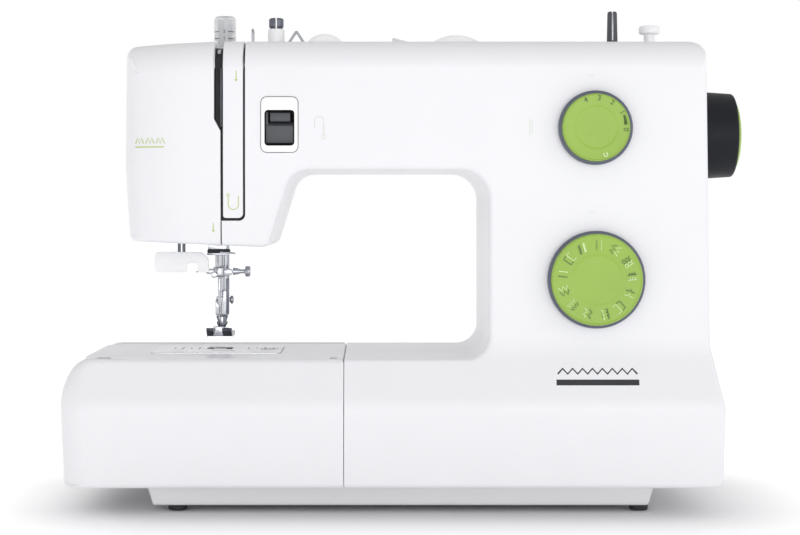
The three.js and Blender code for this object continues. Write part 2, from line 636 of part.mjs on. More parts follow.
const CLAMP = { z0: 134, z1: 141.6 };
const BAR_TOP = 262;
const needleAxis = [NEEDLE_X, NEEDLE_Y, 0];
add('needle_bar', rod('z', needleAxis, BAR_R, CLAMP.z1 - 1 + GAP, 258), chrome);
add('needle_clamp', join(
  rod('z', needleAxis, 4, CLAMP.z0, CLAMP.z1 - 1),
  box(NEEDLE_X, NEEDLE_X + 8, NEEDLE_Y - 2.6, NEEDLE_Y + 2.6, CLAMP.z0 + 0.8, CLAMP.z1 - 1.8),
), steel);
add('needle_clamp_screw', join(
  rod('x', [0, NEEDLE_Y, 137.6], 1.5, NEEDLE_X + 8 + GAP, -98.5, 16),
  rod('x', [0, NEEDLE_Y, 137.6], 3.2, -99.5, -95.8, 20),
), steel);
add('needle', turned([
  [0, 107], [0.4, 109], [0.7, 118], [0.7, 122], [1.1, 125], [1.1, CLAMP.z0 - GAP],
  [0, CLAMP.z0 - GAP],
], 'z', needleAxis, 12), chrome);

const presserAxis = [PRESSER_X, PRESSER_Y, 0];
const ANKLE = { z0: 110.6, z1: 126 };
add('presser_bar', join(
  rod('z', presserAxis, BAR_R, ANKLE.z1 + GAP, BAR_TOP),
  box(PRESSER_X - 4, PRESSER_X + 4, PRESSER_Y - 3.4, PRESSER_Y + 4.6, 186, 192),
), chrome);
add('presser_ankle', cut(
  box(-117.8, -109.5, 3, 9.4, ANKLE.z0, ANKLE.z1),
  box(-118, -114.8, 2, 7, 113, 119),
), chrome);
add('ankle_screw', join(
  rod('x', [0, 6.2, 120], 1.6, -109.2, -104, 16),
  rod('x', [0, 6.2, 120], 4, -105, -102.6, 20),
), steel);

// The foot is shown raised; its holder snaps over the pin at the back.
const FOOT = { x0: -121.6, x1: -106.4, y0: -17, y1: 13, z: 98.6 };
add('presser_foot_holder', join(
  box(-117.5, -110, 3, 9, 106.5, ANKLE.z0 - GAP),
  box(-116.5, -111.5, 4, 7, 103.2, 107),
), darkPlastic);
const footSide = [
  [FOOT.y1, FOOT.z, 0.8], [FOOT.y1, FOOT.z + 2.2, 0.6], [-6, FOOT.z + 2.2, 3],
  [FOOT.y0 + 2, FOOT.z + 5.6, 1], [FOOT.y0, FOOT.z + 4.4, 0.5], [-10, FOOT.z, 3],
];
add('presser_foot', cut(
  join(
    prismYZ([...footSide].reverse(), FOOT.x0, FOOT.x1),
    box(-117.5, -110.5, 2.4, 8.6, FOOT.z + 1.5, 102.9),
  ),
  prismXY(rectangle(NEEDLE_X - 3.8, NEEDLE_X + 3.8, NEEDLE_Y - 2.4, NEEDLE_Y + 2.4, 1.2), 90, 112),
  box(NEEDLE_X - 1.2, NEEDLE_X + 1.2, FOOT.y0 - 1, -8, 90, 112),
), chrome);

// Lever at the back of the head; raised, as the foot is.
const LIFTER_AXIS = { y: 22, z: 180 };
add('presser_lifter', prismYZ([
  [LIFTER_AXIS.y - 6, LIFTER_AXIS.z - 6, 4], [LIFTER_AXIS.y + 8, LIFTER_AXIS.z - 6, 3],
  [74, LIFTER_AXIS.z - 2, 2], [77, LIFTER_AXIS.z + 5, 2], [48, LIFTER_AXIS.z + 6, 5],
  [LIFTER_AXIS.y - 6, LIFTER_AXIS.z + 6, 4],
], LIFTER.x - 2.5, LIFTER.x + 2.5), greyPlastic);

const TAKE_UP = { y: -20, z: 236, eyeY: -61.5, eyeZ: 264.5 };
const TAKE_UP_X = [-111.1, -108.9];
add('take_up_lever', cut(
  join(
    rod('x', [0, TAKE_UP.y, TAKE_UP.z], 6, ...TAKE_UP_X, 20),
    rod('x', [0, TAKE_UP.eyeY, TAKE_UP.eyeZ], 3.8, ...TAKE_UP_X, 20),
    prismYZ([
      [TAKE_UP.y - 4, TAKE_UP.z - 5], [TAKE_UP.y + 3, TAKE_UP.z + 5],
      [TAKE_UP.eyeY + 1, TAKE_UP.eyeZ + 3.4], [TAKE_UP.eyeY - 3, TAKE_UP.eyeZ - 2],
    ], ...TAKE_UP_X),
  ),
  rod('x', [0, TAKE_UP.y, TAKE_UP.z], 2.5, -120, -100, 16),
  rod('x', [0, TAKE_UP.eyeY - 0.4, TAKE_UP.eyeZ], 1.5, -120, -100, 16),
), chrome);

const THREADER = { x0: -152.2, x1: -119.6, y0: -22, y1: -19.4, z0: 137.6, z1: 150 };
const THREADER_POSTS = [-137.4, -134.6];
add('needle_threader', cut(
  join(
    prismXZ([
      [THREADER.x0, THREADER.z0, 2], [THREADER.x1, THREADER.z0, 1],
      [THREADER.x1, THREADER.z1 - 2, 6], [-130, THREADER.z1, 4], [THREADER.x0, THREADER.z1, 3],
    ], THREADER.y0, THREADER.y1),
    box(-139, -133, THREADER.y0, THREADER.y1, THREADER.z1 - 2, 152),
    ...THREADER_POSTS.map((x) => rod('z', [x, -20.7, 0], 1.2, 150, 188, 12)),
    box(-140, -132, -24, -17.4, 186, 190),
  ),
  box(-132.4, -126.6, -30, -10, 130, 143),
), whitePlastic);

add('lamp_socket', rod('z', [-142, 22, 0], 9, 212, 236, 20), greyPlastic);
add('lamp_bulb', turned([
  [0, 178], [5, 180], [8, 186], [8, 194], [5.5, 202], [5.5, 212 - GAP], [0, 212 - GAP],
], 'z', [-142, 22, 0], 20), bulbGlass);

// --------------------------------------------------------- dials on the front

const DIAL_DEPTH = 8;
function dialPair(ringName, capName, [x, z], ringR, capR) {
  const face = BODY_FRONT - DIAL_DEPTH;
  add(ringName, turned([
    [0, face + 4.5], [capR - 3, face + 4.5], [capR - 1, face + 3],
    [ringR - 0.8, face + 3], [ringR, face + 4], [ringR, BODY_FRONT - GAP],
    [DIAL_HUB_R, BODY_FRONT - GAP], [DIAL_HUB_R, BODY_FRONT + 9], [0, BODY_FRONT + 9],
  ], 'y', [x, 0, z], 28), ringPlastic);
  add(capName, turned([
    [0, face + 4.5 - GAP], [capR - 3.2, face + 4.5 - GAP], [capR - 1.2, face + 3 - GAP],
    [capR, face + 3 - GAP], [capR, face + 1.6], [capR * 0.9, face],
    [capR * 0.86, face + 0.6], [0, face + 0.6],
  ], 'y', [x, 0, z], 28), greenPlastic);
}
dialPair('stitch_length_dial', 'stitch_length_cap', LENGTH_DIAL, LENGTH_RING_R, 19.35);
dialPair('pattern_dial', 'pattern_cap', PATTERN_DIAL, PATTERN_RING_R, 26.15);

// ------------------------------------------------------------- reverse lever

const POCKET = { x0: -83.5, x1: -66.4, z0: 211.6, z1: 232 };
add('reverse_bezel', cut(
  join(
    prismXZ(rectangle(REVERSE.x0, REVERSE.x1, REVERSE.z0, REVERSE.z1, 3.4),
      BODY_FRONT - 1.2, BODY_FRONT - GAP),
    prismXZ(rectangle(REVERSE.x0 + 1.4, REVERSE.x1 - 1.4, REVERSE.z0 + 1.4, REVERSE.z1 - 1.4, 2.4),
      BODY_FRONT - 1, BODY_FRONT + 12),
  ),
  prismXZ(rectangle(POCKET.x0, POCKET.x1, POCKET.z0, POCKET.z1, 2), -FAR, BODY_FRONT + 20),
), whitePlastic);
const LEVER_AXIS = { y: BODY_FRONT + 14, z: 222 };
add('reverse_lever', prismYZ([
  [BODY_FRONT + 1.4, 215.4, 0.6], [BODY_FRONT + 5, 214.6, 1],
  [LEVER_AXIS.y + 4, LEVER_AXIS.z - 3, 2], [LEVER_AXIS.y + 4, LEVER_AXIS.z + 3, 2],
  [BODY_FRONT + 5, 231, 1], [BODY_FRONT - 1.6, 230.5, 0.8], [BODY_FRONT - 1.6, 225.3, 0.8],
  [BODY_FRONT + 1.4, 223.6, 0.5],
].reverse(), POCKET.x0 + 1.5, POCKET.x1 - 1.5), greyPlastic);

// -------------------------------------------------------- wheels on the top

function thumbwheel(name, { x, y, r, half, rise }) {
  const z = BODY_TOP + rise - r;
  add(name, turned([
    [2.6, y - half], [r - 0.8, y - half], [r, y - half + 0.8], [r, y + half - 0.8],
    [r - 0.8, y + half], [2.6, y + half],
  ], 'y', [x, 0, z], 28), whitePlastic);
  return z;
}
thumbwheel('tension_dial', TENSION);
thumbwheel('stitch_width_dial', WIDTH_WHEEL);

// ------------------------------------------------------- posts on the top

const KNOB = { r: 6.6, z0: BODY_TOP - 5, z1: 293.6 };
add('pressure_knob', cut(
  turned([
    [0, KNOB.z0], [KNOB.r, KNOB.z0], [KNOB.r, KNOB.z1 - 1], [KNOB.r - 1, KNOB.z1], [0, KNOB.z1],
  ], 'z', presserAxis, 20),
  rod('z', presserAxis, 4.6, KNOB.z0 - 1, KNOB.z1 - 3, 20),
), clearPlastic);

const [guideX, guideY] = GUIDE_POST;
add('bobbin_thread_guide', cut(
  turned([
    [0, BODY_TOP - 6], [3, BODY_TOP - 6], [3, BODY_TOP + GAP], [5, BODY_TOP + GAP],
    [4.9, 282.7], [4.6, 283], [4.2, 284], [4.2, 289.4], [0, 289.4],
  ], 'z', [guideX, guideY, 0], 20),
  box(guideX - 0.6, guideX + 0.6, guideY - 6, guideY + 6, 284, 292),
), whitePlastic);

const [wireX, wireY] = WIRE_GUIDE;
add('top_thread_guide', join(
  rod('z', [wireX, wireY, 0], 0.7, BODY_TOP - 6, 282.6, 10),
  rod('y', [wireX, 0, 282], 0.7, wireY - 0.5, wireY + 10, 10),
  rod('z', [wireX, wireY + 9.6, 0], 0.7, BODY_TOP + GAP, 282.6, 10),
), steel);

const [smallX, smallY] = SMALL_GUIDE;
add('pretension_guide', join(
  rod('z', [smallX, smallY, 0], 1.8, BODY_TOP - 6, 282, 14),
  rod('z', [smallX, smallY, 0], 5.6, BODY_TOP + GAP, BODY_TOP + 2.6, 20),
  turned([[0, 276.5], [3, 277], [1.2, 282], [0, 282]], 'z', [smallX, smallY, 0], 14),
), steel);

const [winderX, winderY] = WINDER;
add('bobbin_winder_spindle', cut(
  turned([
    [0, 258], [2, 258], [2, BODY_TOP + 0.4], [5.6, BODY_TOP + 0.4], [5.6, BODY_TOP + 1.6],
    [3, BODY_TOP + 3], [2.8, 294], [2.2, 294.5], [0, 294.5],
  ], 'z', [winderX, winderY, 0], 20),
  box(winderX - 0.5, winderX + 0.5, winderY - 4, winderY + 4, 280, 296),
), darkPlastic);
add('bobbin_stop', turned([
  [0, BODY_TOP - 6], [3.4, BODY_TOP - 6], [3.4, 280.8], [6.4, 281.2], [6.4, 284.6],
  [5, 285.8], [0, 285.8],
], 'z', [...STOP, 0], 24), whitePlastic);

add('spool_pin', turned([
  [0, 206], [4.6, 206], [4.6, 208], [2.6, 209], [2.6, BODY_TOP + 0.6], [2, BODY_TOP + 1.2],
  [0, BODY_TOP + 1.2],
], 'z', [...SPOOL_PIN, 0]), whitePlastic);

// --------------------------------------------------- carry handle in its well

const handleOuter = rectangle(HANDLE.x0 + 1.6, HANDLE.x1 - 1.6, HANDLE.y0 + 1.6, HANDLE.y1 - 1.6, 5);
add('carry_handle', join(
  cut(
    prismXY(handleOuter, BODY_TOP - 8.6, BODY_TOP - 0.6),
    box(HANDLE.x0 + 1.6 + HANDLE.grip, HANDLE.x1 - 1.6 - HANDLE.grip,
      HANDLE.y0 + HANDLE.grip + 1, FAR, 0, FAR),
  ),
  prismXZ([[-9.6, BODY_TOP - 4, 0], [9.3, BODY_TOP - 4, 0], [9.3, BODY_TOP - 0.4, 0],
    [-8.4, 279.4, 0.8], [-9.6, 279.4, 0.4]], HANDLE.y0 + 2, HANDLE.y0 + 8),
), whitePlastic);

// ------------------------------------------------- power inlet and its switch

add('power_inlet', cut(
  box(163, 178.4, INLET.y0, INLET.y1, INLET.z0, INLET.z1),
  prismYZ(rectangle(INLET.y0 + 3, INLET.y1 - 3, INLET.z0 + 3, INLET.z1 - 3, 3), 166, 185),
), darkPlastic);
const SWITCH_AXIS = { x: 172 };
const SWITCH_Y = (SWITCH.y0 + SWITCH.y1) / 2;
add('power_switch', prismXY([
  [SWITCH_AXIS.x - 4, SWITCH_Y - 5, 1], [SWITCH_AXIS.x + 5.6, SWITCH.y0 + 0.6, 0.6],
  [SWITCH_AXIS.x + 4.2, SWITCH_Y, 0], [SWITCH_AXIS.x + 5.6, SWITCH.y1 - 0.6, 0.6],
  [SWITCH_AXIS.x - 4, SWITCH_Y + 5, 1],
], SWITCH.z0 + 0.4, SWITCH.z1 - 0.4), darkPlastic);

export default machine;
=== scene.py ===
"""A free-arm sewing machine: fine casings, dials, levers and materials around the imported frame."""

import math

import bmesh
import bpy
from mathutils import Matrix, Vector
from mathutils.geometry import delaunay_2d_cdt


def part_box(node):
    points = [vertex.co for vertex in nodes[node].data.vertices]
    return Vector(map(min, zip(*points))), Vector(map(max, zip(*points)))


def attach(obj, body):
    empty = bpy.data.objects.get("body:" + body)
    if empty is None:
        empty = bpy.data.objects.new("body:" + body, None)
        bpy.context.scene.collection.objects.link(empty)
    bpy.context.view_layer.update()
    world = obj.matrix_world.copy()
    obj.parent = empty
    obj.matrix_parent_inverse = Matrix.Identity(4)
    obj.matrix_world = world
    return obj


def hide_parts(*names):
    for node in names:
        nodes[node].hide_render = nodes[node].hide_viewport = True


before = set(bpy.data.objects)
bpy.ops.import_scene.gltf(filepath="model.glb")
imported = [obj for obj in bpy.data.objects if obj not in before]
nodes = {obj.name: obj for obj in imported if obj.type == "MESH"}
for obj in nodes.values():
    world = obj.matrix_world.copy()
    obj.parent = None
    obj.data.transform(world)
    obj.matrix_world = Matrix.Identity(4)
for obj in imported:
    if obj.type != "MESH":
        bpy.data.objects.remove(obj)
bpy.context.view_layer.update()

MM = 0.001
FRONT = -1
REAR = 1
SPLIT_Y = -8.0  # plane where the front and rear covers meet
SEAM = 0.3  # half of a moulded gap between neighbouring covers


def edges_of(node):
    """x0, x1, y0, y1, z0, z1 of a CAD node, in millimetres."""
    low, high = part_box(node)
    return [value / MM for pair in zip(low, high) for value in pair]


def middle_of(a0, a1, b0, b1):
    return (a0 + a1) / 2, (b0 + b1) / 2


# ------------------------ camera and stage

LENS = 83.6
CAMERA = Vector((-23.25, -1132.5, 174.3)) * MM
SHIFT = (0.0375, -0.0706)


def make_camera():
    data = bpy.data.cameras.new("camera")
    data.lens = LENS
    data.sensor_width = 36
    data.shift_x, data.shift_y = SHIFT
    data.clip_end = 20
    camera = bpy.data.objects.new("camera", data)
    camera.location = CAMERA
    camera.rotation_euler = (math.radians(90), 0, 0)
    bpy.context.scene.collection.objects.link(camera)
    bpy.context.scene.camera = camera


# ------------------------ mesh helpers

def finish_mesh(name, bm, material, smooth=35):
    """Makes an object in metres from a bmesh in millimetres."""
    bmesh.ops.remove_doubles(bm, verts=bm.verts, dist=0.002)
    bmesh.ops.dissolve_degenerate(bm, edges=bm.edges, dist=0.001)
    bmesh.ops.recalc_face_normals(bm, faces=bm.faces)
    mesh = bpy.data.meshes.new(name)
    bm.to_mesh(mesh)
    bm.free()
    mesh.transform(Matrix.Scale(MM, 4))
    piece = bpy.data.objects.new(name, mesh)
    bpy.context.scene.collection.objects.link(piece)
    piece.data.materials.append(material)
    shade(piece, smooth)
    return piece


def shade(piece, angle):
    """Smooth shading, broken where faces meet at more than the angle in degrees."""
    piece.data.polygons.foreach_set("use_smooth", [True] * len(piece.data.polygons))
    bm = bmesh.new()
    bm.from_mesh(piece.data)
    limit = math.radians(angle)
    for edge in bm.edges:
        if len(edge.link_faces) == 2:
            edge.smooth = edge.calc_face_angle(0) < limit
    bm.to_mesh(piece.data)
    bm.free()


def modify(piece, kind, **settings):
    """Adds one modifier and applies it."""
    modifier = piece.modifiers.new(kind.lower(), kind)
    for key, value in settings.items():
        setattr(modifier, key, value)
    graph = bpy.context.evaluated_depsgraph_get()
    mesh = bpy.data.meshes.new_from_object(piece.evaluated_get(graph))
    piece.modifiers.clear()
    piece.data = mesh
    return piece


def cut(piece, *solids):
    """Cuts bmesh solids out of a piece."""
    for solid in solids:
        tool = finish_mesh("tool", solid, WHITE)
        modify(piece, "BOOLEAN", operation="DIFFERENCE", object=tool, solver="EXACT")
        bpy.data.objects.remove(tool)


def carve(piece, *solids):
    """Cuts, then smooths the result again."""
    cut(piece, *solids)
    shade(piece, 30)


def weigh_normals(piece, smooth=35):
    shade(piece, smooth)
    modifier = piece.modifiers.new("weighted", "WEIGHTED_NORMAL")
    modifier.keep_sharp = True
    modifier.weight = 80
    return piece


# ------------------------ outlines

def line_crossing(point_a, along_a, point_b, along_b):
    turn = along_a[0] * along_b[1] - along_a[1] * along_b[0]
    gap = (point_b[0] - point_a[0], point_b[1] - point_a[1])
    travel = (gap[0] * along_b[1] - gap[1] * along_b[0]) / turn
    return point_a[0] + along_a[0] * travel, point_a[1] + along_a[1] * travel


class Outline:
    """A closed anticlockwise outline of corners (a, b, corner radius, edge fillet).

    The fillet belongs to the edge that leaves the corner. ring(t) gives the
    outline moved inward along every edge's own fillet, t from 0 to 90 degrees,
    as points (a, b, drop): drop is how far that fillet has fallen back.
    """

    def __init__(self, corners, spacing=3.0):
        self.corners = corners
        self.spacing = spacing
        self.count = len(corners)
        self.arc_steps = [max(2, int(2 + abs(c[2]) * 0.9)) for c in corners]

    def edge(self, i):
        a, b = self.corners[i % self.count][:2]
        c, d = self.corners[(i + 1) % self.count][:2]
        length = math.hypot(c - a, d - b)
        return (a, b), ((c - a) / length, (d - b) / length), length

    def fillet(self, i, angle):
        radius = self.corners[i % self.count][3]
        return radius * (1 - math.cos(angle)), radius * (1 - math.sin(angle))

    def corner_points(self, i, angle, extra):
        start, along, _ = self.edge(i - 1)
        here, leaving, _ = self.edge(i)
        d0, drop0 = self.fillet(i - 1, angle)
        d1, drop1 = self.fillet(i, angle)
        d0 += extra
        d1 += extra
        first = (start[0] - along[1] * d0, start[1] + along[0] * d0)
        second = (here[0] - leaving[1] * d1, here[1] + leaving[0] * d1)
        turn = along[0] * leaving[1] - along[1] * leaving[0]
        if abs(turn) < 1e-3:
            return [(second[0], second[1], drop1)]
        x, y = line_crossing(first, along, second, leaving)
        mean = (d0 + d1) / 2
        radius = self.corners[i % self.count][2]
        steps = self.arc_steps[i % self.count]
        if radius <= 0:
            return [(x, y, max(drop0, drop1))]
        radius = max(radius - mean if turn > 0 else radius + mean, 0.01)
        half = math.acos(max(-1, min(1, -(along[0] * leaving[0] + along[1] * leaving[1])))) / 2
        reach = radius / math.tan(half)
        sign = 1 if turn > 0 else -1
        centre = (x - along[0] * reach - sign * along[1] * radius,
            y - along[1] * reach + sign * along[0] * radius,)
        from_angle = math.atan2(-sign * along[0], sign * along[1])
        swing = sign * (math.pi - 2 * half)
        points = []
        for k in range(steps + 1):
            share = k / steps
            a = from_angle + swing * share
            fall = drop0 + (drop1 - drop0) * share
            points.append((centre[0] + radius * math.cos(a), centre[1] + radius * math.sin(a), fall))
        return points

    def ring(self, degrees, extra=0.0):
        angle = math.radians(degrees)
        corners = [self.corner_points(i, angle, extra) for i in range(self.count)]
        points = []
        for i in range(self.count):
            points += corners[i]
            end = corners[i][-1]
            start = corners[(i + 1) % self.count][0]
            pieces = max(1, int(self.edge(i)[2] / self.spacing))
            fall = self.fillet(i, angle)[1]
            for k in range(1, pieces):
                share = k / pieces
                points.append((end[0] + (start[0] - end[0]) * share,
                    end[1] + (start[1] - end[1]) * share, fall,))
        return points


def inside(point, loop):
    """Whether a point lies inside a closed loop, by counting crossings."""
    x, y = point[:2]
    found = False
    for (ax, ay, *_), (bx, by, *_) in zip(loop, loop[1:] + loop[:1]):
        if (ay > y) != (by > y) and x < ax + (y - ay) * (bx - ax) / (by - ay):
            found = not found
    return found


def spaced(candidates, taken, gap=1.3):
    """The candidates that keep clear of each other and of the points already taken."""
    used = set()
    kept = []

    def claim(a, b):
        used.update((round(a / gap) + i, round(b / gap) + j) for i in (-1, 0, 1) for j in (-1, 0, 1))

    for a, b in taken:
        claim(a, b)
    for a, b in candidates:
        if (round(a / gap), round(b / gap)) not in used:
            kept.append((a, b))
            used.add((round(a / gap), round(b / gap)))
    return kept


SLIVER = 0.004  # twice the area, in square mm, below which a triangle is left out


def fill(loop, holes, extra_points):
    """Triangles between a loop, its holes and further points, as (points, triangles)."""
    points = [Vector(p[:2]) for p in loop]
    edges = [(i, (i + 1) % len(loop)) for i in range(len(loop))]
    for hole in holes:
        start = len(points)
        points += [Vector(p[:2]) for p in hole]
        edges += [(start + i, start + (i + 1) % len(hole)) for i in range(len(hole))]
    kept = spaced([p for p in extra_points if inside(p, loop)], points)
    kept = [p for p in kept if not any(inside(p, h) for h in holes)]
    points += [Vector(p[:2]) for p in kept]
    verts, _, faces, *_ = delaunay_2d_cdt(points, edges, [], 0, 1e-5)
    triangles = []
    for face in faces:
        middle = sum((verts[i] for i in face), Vector((0, 0))) / len(face)
        one, two, three = (verts[i] for i in face)
        if abs((two - one).cross(three - one)) < SLIVER:
            continue
        if inside(middle, loop) and not any(inside(middle, h) for h in holes):
            triangles.append(face)
    return verts, triangles


# ------------------------ shell halves

FILLET_STEPS = (0, 15, 30, 45, 60, 75, 90)


def crown_drop(z):
    """How far the casing's rounded top has fallen back at height z."""
    over = z - (BODY_TOP - TOP_EDGE)
    if over <= 0:
        return 0.0
    return TOP_EDGE - math.sqrt(max(TOP_EDGE ** 2 - over ** 2, 0))


def shell_half(bm, outline, height, side, back, holes=(), extra=(), lip=4.0):
    """Half of a moulded cover: a filleted skin over an outline in XZ.

    height(x, z) is how far the face stands out from SPLIT_Y towards side.
    back is the height at which the side wall ends. holes are loops in (x, z)
    whose edges turn inward by lip.
    """

    def vert(x, z, level):
        return bm.verts.new((x, SPLIT_Y + side * level, z))

    rings = []
    first = outline.ring(0)
    rings.append([vert(x, z, back) for x, z, _ in first])
    for degrees in FILLET_STEPS:
        points = outline.ring(degrees)
        rings.append([vert(x, z, height(x, z) - max(fall, crown_drop(z))) for x, z, fall in points])
    for lower, upper in zip(rings, rings[1:]):
        count = len(lower)
        for i in range(count):
            j = (i + 1) % count
            bm.faces.new((lower[i], lower[j], upper[j], upper[i]))
    inner = [(x, z) for x, z, _ in outline.ring(90)]
    points, triangles = fill(inner, [list(h) for h in holes], extra)
    verts = [vert(p.x, p.y, height(p.x, p.y)) for p in points]
    for triangle in triangles:
        bm.faces.new([verts[i] for i in triangle])
    for hole in holes:
        outer = [vert(p[0], p[1], height(p[0], p[1])) for p in hole]
        deep = [vert(p[0], p[1], height(p[0], p[1]) - lip) for p in hole]
        for i in range(len(hole)):
            j = (i + 1) % len(hole)
            bm.faces.new((outer[i], outer[j], deep[j], deep[i]))


def bend(value, knots):
    """A line that changes slope at each knot (place, change of slope, half-width)."""
    total = 0.0
    for place, change, half in knots:
        u = value - place
        if u >= half:
            total += change * u
        elif u > -half:
            total += change * (u + half) ** 2 / (4 * half)
    return total


def rows(x0, x1, levels, step=7.0):
    """Points on level lines, to carry a change of slope."""
    count = max(1, int((x1 - x0) / step))
    return [(x0 + (x1 - x0) * k / count, z) for z in levels for k in range(count + 1)]


def rectangle(a0, a1, b0, b1, *rest):
    """Anticlockwise corners; rest is what an outline's corner has after its place."""
    return [(a, b, *rest) for a, b in ((a0, b0), (a1, b0), (a1, b1), (a0, b1))]


# ------------------------ solids

PLANES = {
    "xy": lambda a, b, level: (a, b, level),
    "xz": lambda a, b, level: (a, level, b),
    "yz": lambda a, b, level: (level, a, b),
}
LOW_EDGE = (90, 60, 30, 0)
HIGH_EDGE = (0, 30, 60, 90)
TURN = 2 * math.pi


def skin(bm, rings):
    """Quads between rings of equal length, or a fan where a ring is one point."""
    for lower, upper in zip(rings, rings[1:]):
        count = max(len(lower), len(upper))
        for k in range(count if count > 1 else 0):
            j = (k + 1) % count
            if len(lower) == 1:
                bm.faces.new((lower[0], upper[j], upper[k]))
            elif len(upper) == 1:
                bm.faces.new((lower[k], lower[j], upper[0]))
            else:
                bm.faces.new((lower[k], lower[j], upper[j], upper[k]))


def slab(plane, corners, low, high, radius=1.0, fillet=0.4, spacing=6.0, into=None):
    """A prism with rounded edges. A corner is (a, b), with its own radius if it has one."""
    bm = bmesh.new() if into is None else into
    full = [(c[0], c[1], c[2] if len(c) > 2 else radius, fillet) for c in corners]
    outline = Outline(full, spacing)
    place = PLANES[plane]
    rings = []
    for degrees in LOW_EDGE:
        rings.append([bm.verts.new(place(a, b, low + d)) for a, b, d in outline.ring(degrees)])
    for degrees in HIGH_EDGE:
        rings.append([bm.verts.new(place(a, b, high - d)) for a, b, d in outline.ring(degrees)])
    skin(bm, rings)
    bm.faces.new(rings[0])
    bm.faces.new(rings[-1])
    return bm


def block(x0, x1, y0, y1, z0, z1, radius=0.8, fillet=0.4, into=None):
    corners = rectangle(x0, x1, z0, z1)
    return slab("xz", corners, y0, y1, radius, fillet, into=into)


def on_circle(axis, centre, radius, along, angle):
    a = centre[0] + radius * math.cos(angle)
    b = centre[1] + radius * math.sin(angle)
    return {"x": (along, a, b), "y": (a, along, b), "z": (a, b, along)}[axis]


def lathe(axis, centre, profile, steps=72, into=None):
    """Turns a profile of (radius, place along the axis) about an axis."""
    bm = bmesh.new() if into is None else into
    rings = []
    for radius, along in profile:
        turns = steps if radius > 1e-6 else 1
        rings.append([bm.verts.new(on_circle(axis, centre, radius, along,
            TURN * k / steps)) for k in range(turns)])
    skin(bm, rings)
    return bm


def soft(points, radius=0.5, steps=3):
    """Rounds the inner corners of a line of (a, b) or (a, b, own radius) points."""
    rounded = [tuple(points[0][:2])]
    for before, here, after in zip(points, points[1:], points[2:]):
        own = here[2] if len(here) > 2 else radius
        a, b, c = Vector(before[:2]), Vector(here[:2]), Vector(after[:2])
        reach = min(own, (a - b).length * 0.45, (c - b).length * 0.45)
        start = b + (a - b).normalized() * reach
        end = b + (c - b).normalized() * reach
        for k in range(steps + 1):
            t = k / steps
            rounded.append(tuple(start * (1 - t) ** 2 + b * 2 * t * (1 - t) + end * t * t))
    rounded.append(tuple(points[-1][:2]))
    return rounded


def rod(axis, centre, radius, low, high, edge=0.3, steps=40, into=None):
    profile = [(0, low), (radius, low, edge), (radius, high, edge), (0, high)]
    return lathe(axis, centre, soft(profile, edge), steps, into)


def tube(path, radius, sides=14, into=None):
    """A round wire along a path of points, closed at both ends."""
    bm = bmesh.new() if into is None else into
    points = [Vector(p) for p in path]
    rings = []
    up = Vector((0.31, 0.17, 0.94))
    for k, point in enumerate(points):
        ahead = points[min(k + 1, len(points) - 1)] - points[max(k - 1, 0)]
        along = ahead.normalized()
        side = along.cross(up).normalized()
        up = side.cross(along).normalized()
        rings.append([bm.verts.new(point + (side * math.cos(TURN * s / sides)
                                            + up * math.sin(TURN * s / sides)) * radius)
                      for s in range(sides)])
    skin(bm, rings)
    bm.faces.new(rings[0])
    bm.faces.new(rings[-1])
    return bm


def smooth_path(corners, radius, steps=6):
    """A path of straight runs with rounded corners, in space."""
    path = [Vector(corners[0])]
    for before, here, after in zip(corners, corners[1:], corners[2:]):
        a, b, c = Vector(before), Vector(here), Vector(after)
        reach = min(radius, (a - b).length * 0.48, (c - b).length * 0.48)
        start = b + (a - b).normalized() * reach
        end = b + (c - b).normalized() * reach
        for k in range(steps + 1):
            t = k / steps
            path.append(start * (1 - t) ** 2 + b * 2 * t * (1 - t) + end * t * t)
    path.append(Vector(corners[-1]))
    return path


def ribbon(bm, path, width, place, height=0.08):
    """A thin printed line along a flat path; place(a, b, lift) puts it on a surface."""
    points = [Vector(p[:2]) for p in path]
    left, right = [], []
    for k, point in enumerate(points):
        along = (points[min(k + 1, len(points) - 1)] - points[max(k - 1, 0)]).normalized()
        side = Vector((-along.y, along.x)) * (width / 2)
        left.append(point + side)
        right.append(point - side)
    for k in range(len(points) - 1):
        corners = (left[k], left[k + 1], right[k + 1], right[k])
        bm.faces.new([bm.verts.new(place(c.x, c.y, height)) for c in corners])


def piece(name, bm, material, body, slot, *replaced, smooth=35):
    made = finish_mesh(name, bm, material, smooth)
    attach(made, body)
    if replaced:
        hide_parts(*replaced)
    return made


# ------------------------ materials

def new_material(name, color, roughness, metallic=0.0, **inputs):
    material = bpy.data.materials.new(name)
    material.use_nodes = True
    shader = material.node_tree.nodes["Principled BSDF"]
    shader.inputs["Base Color"].default_value = (*color, 1)
    shader.inputs["Roughness"].default_value = roughness
    shader.inputs["Metallic"].default_value = metallic
    for key, value in inputs.items():
        shader.inputs[key].default_value = value
    return material


def new_node(tree, kind, **inputs):
    """A shader node; an input given as another node's output is linked, any other is set."""
    node = tree.nodes.new("ShaderNode" + kind)
    for key, value in inputs.items():
        socket = node.inputs[key.replace("_", " ")]
        if isinstance(value, bpy.types.NodeSocket):
            tree.links.new(value, socket)
        else:
            socket.default_value = value
    return node


def new_noise(tree, scale, detail=2.0, stretch=(1, 1, 1)):
    """Noise in the object's own space; scale counts per metre."""
    place = new_node(tree, "TexCoord").outputs["Object"]
    mapping = new_node(tree, "Mapping", Scale=stretch, Vector=place)
    texture = new_node(tree, "TexNoise", Scale=scale, Detail=detail, Vector=mapping.outputs["Vector"])
    return texture.outputs["Fac"]


def spread(tree, value, low, high, narrow=0.3):
    """Maps a noise value to a range of numbers."""
    node = new_node(tree, "MapRange", From_Min=narrow, From_Max=1 - narrow, To_Min=low, To_Max=high,
        Value=value)
    return node.outputs["Result"]


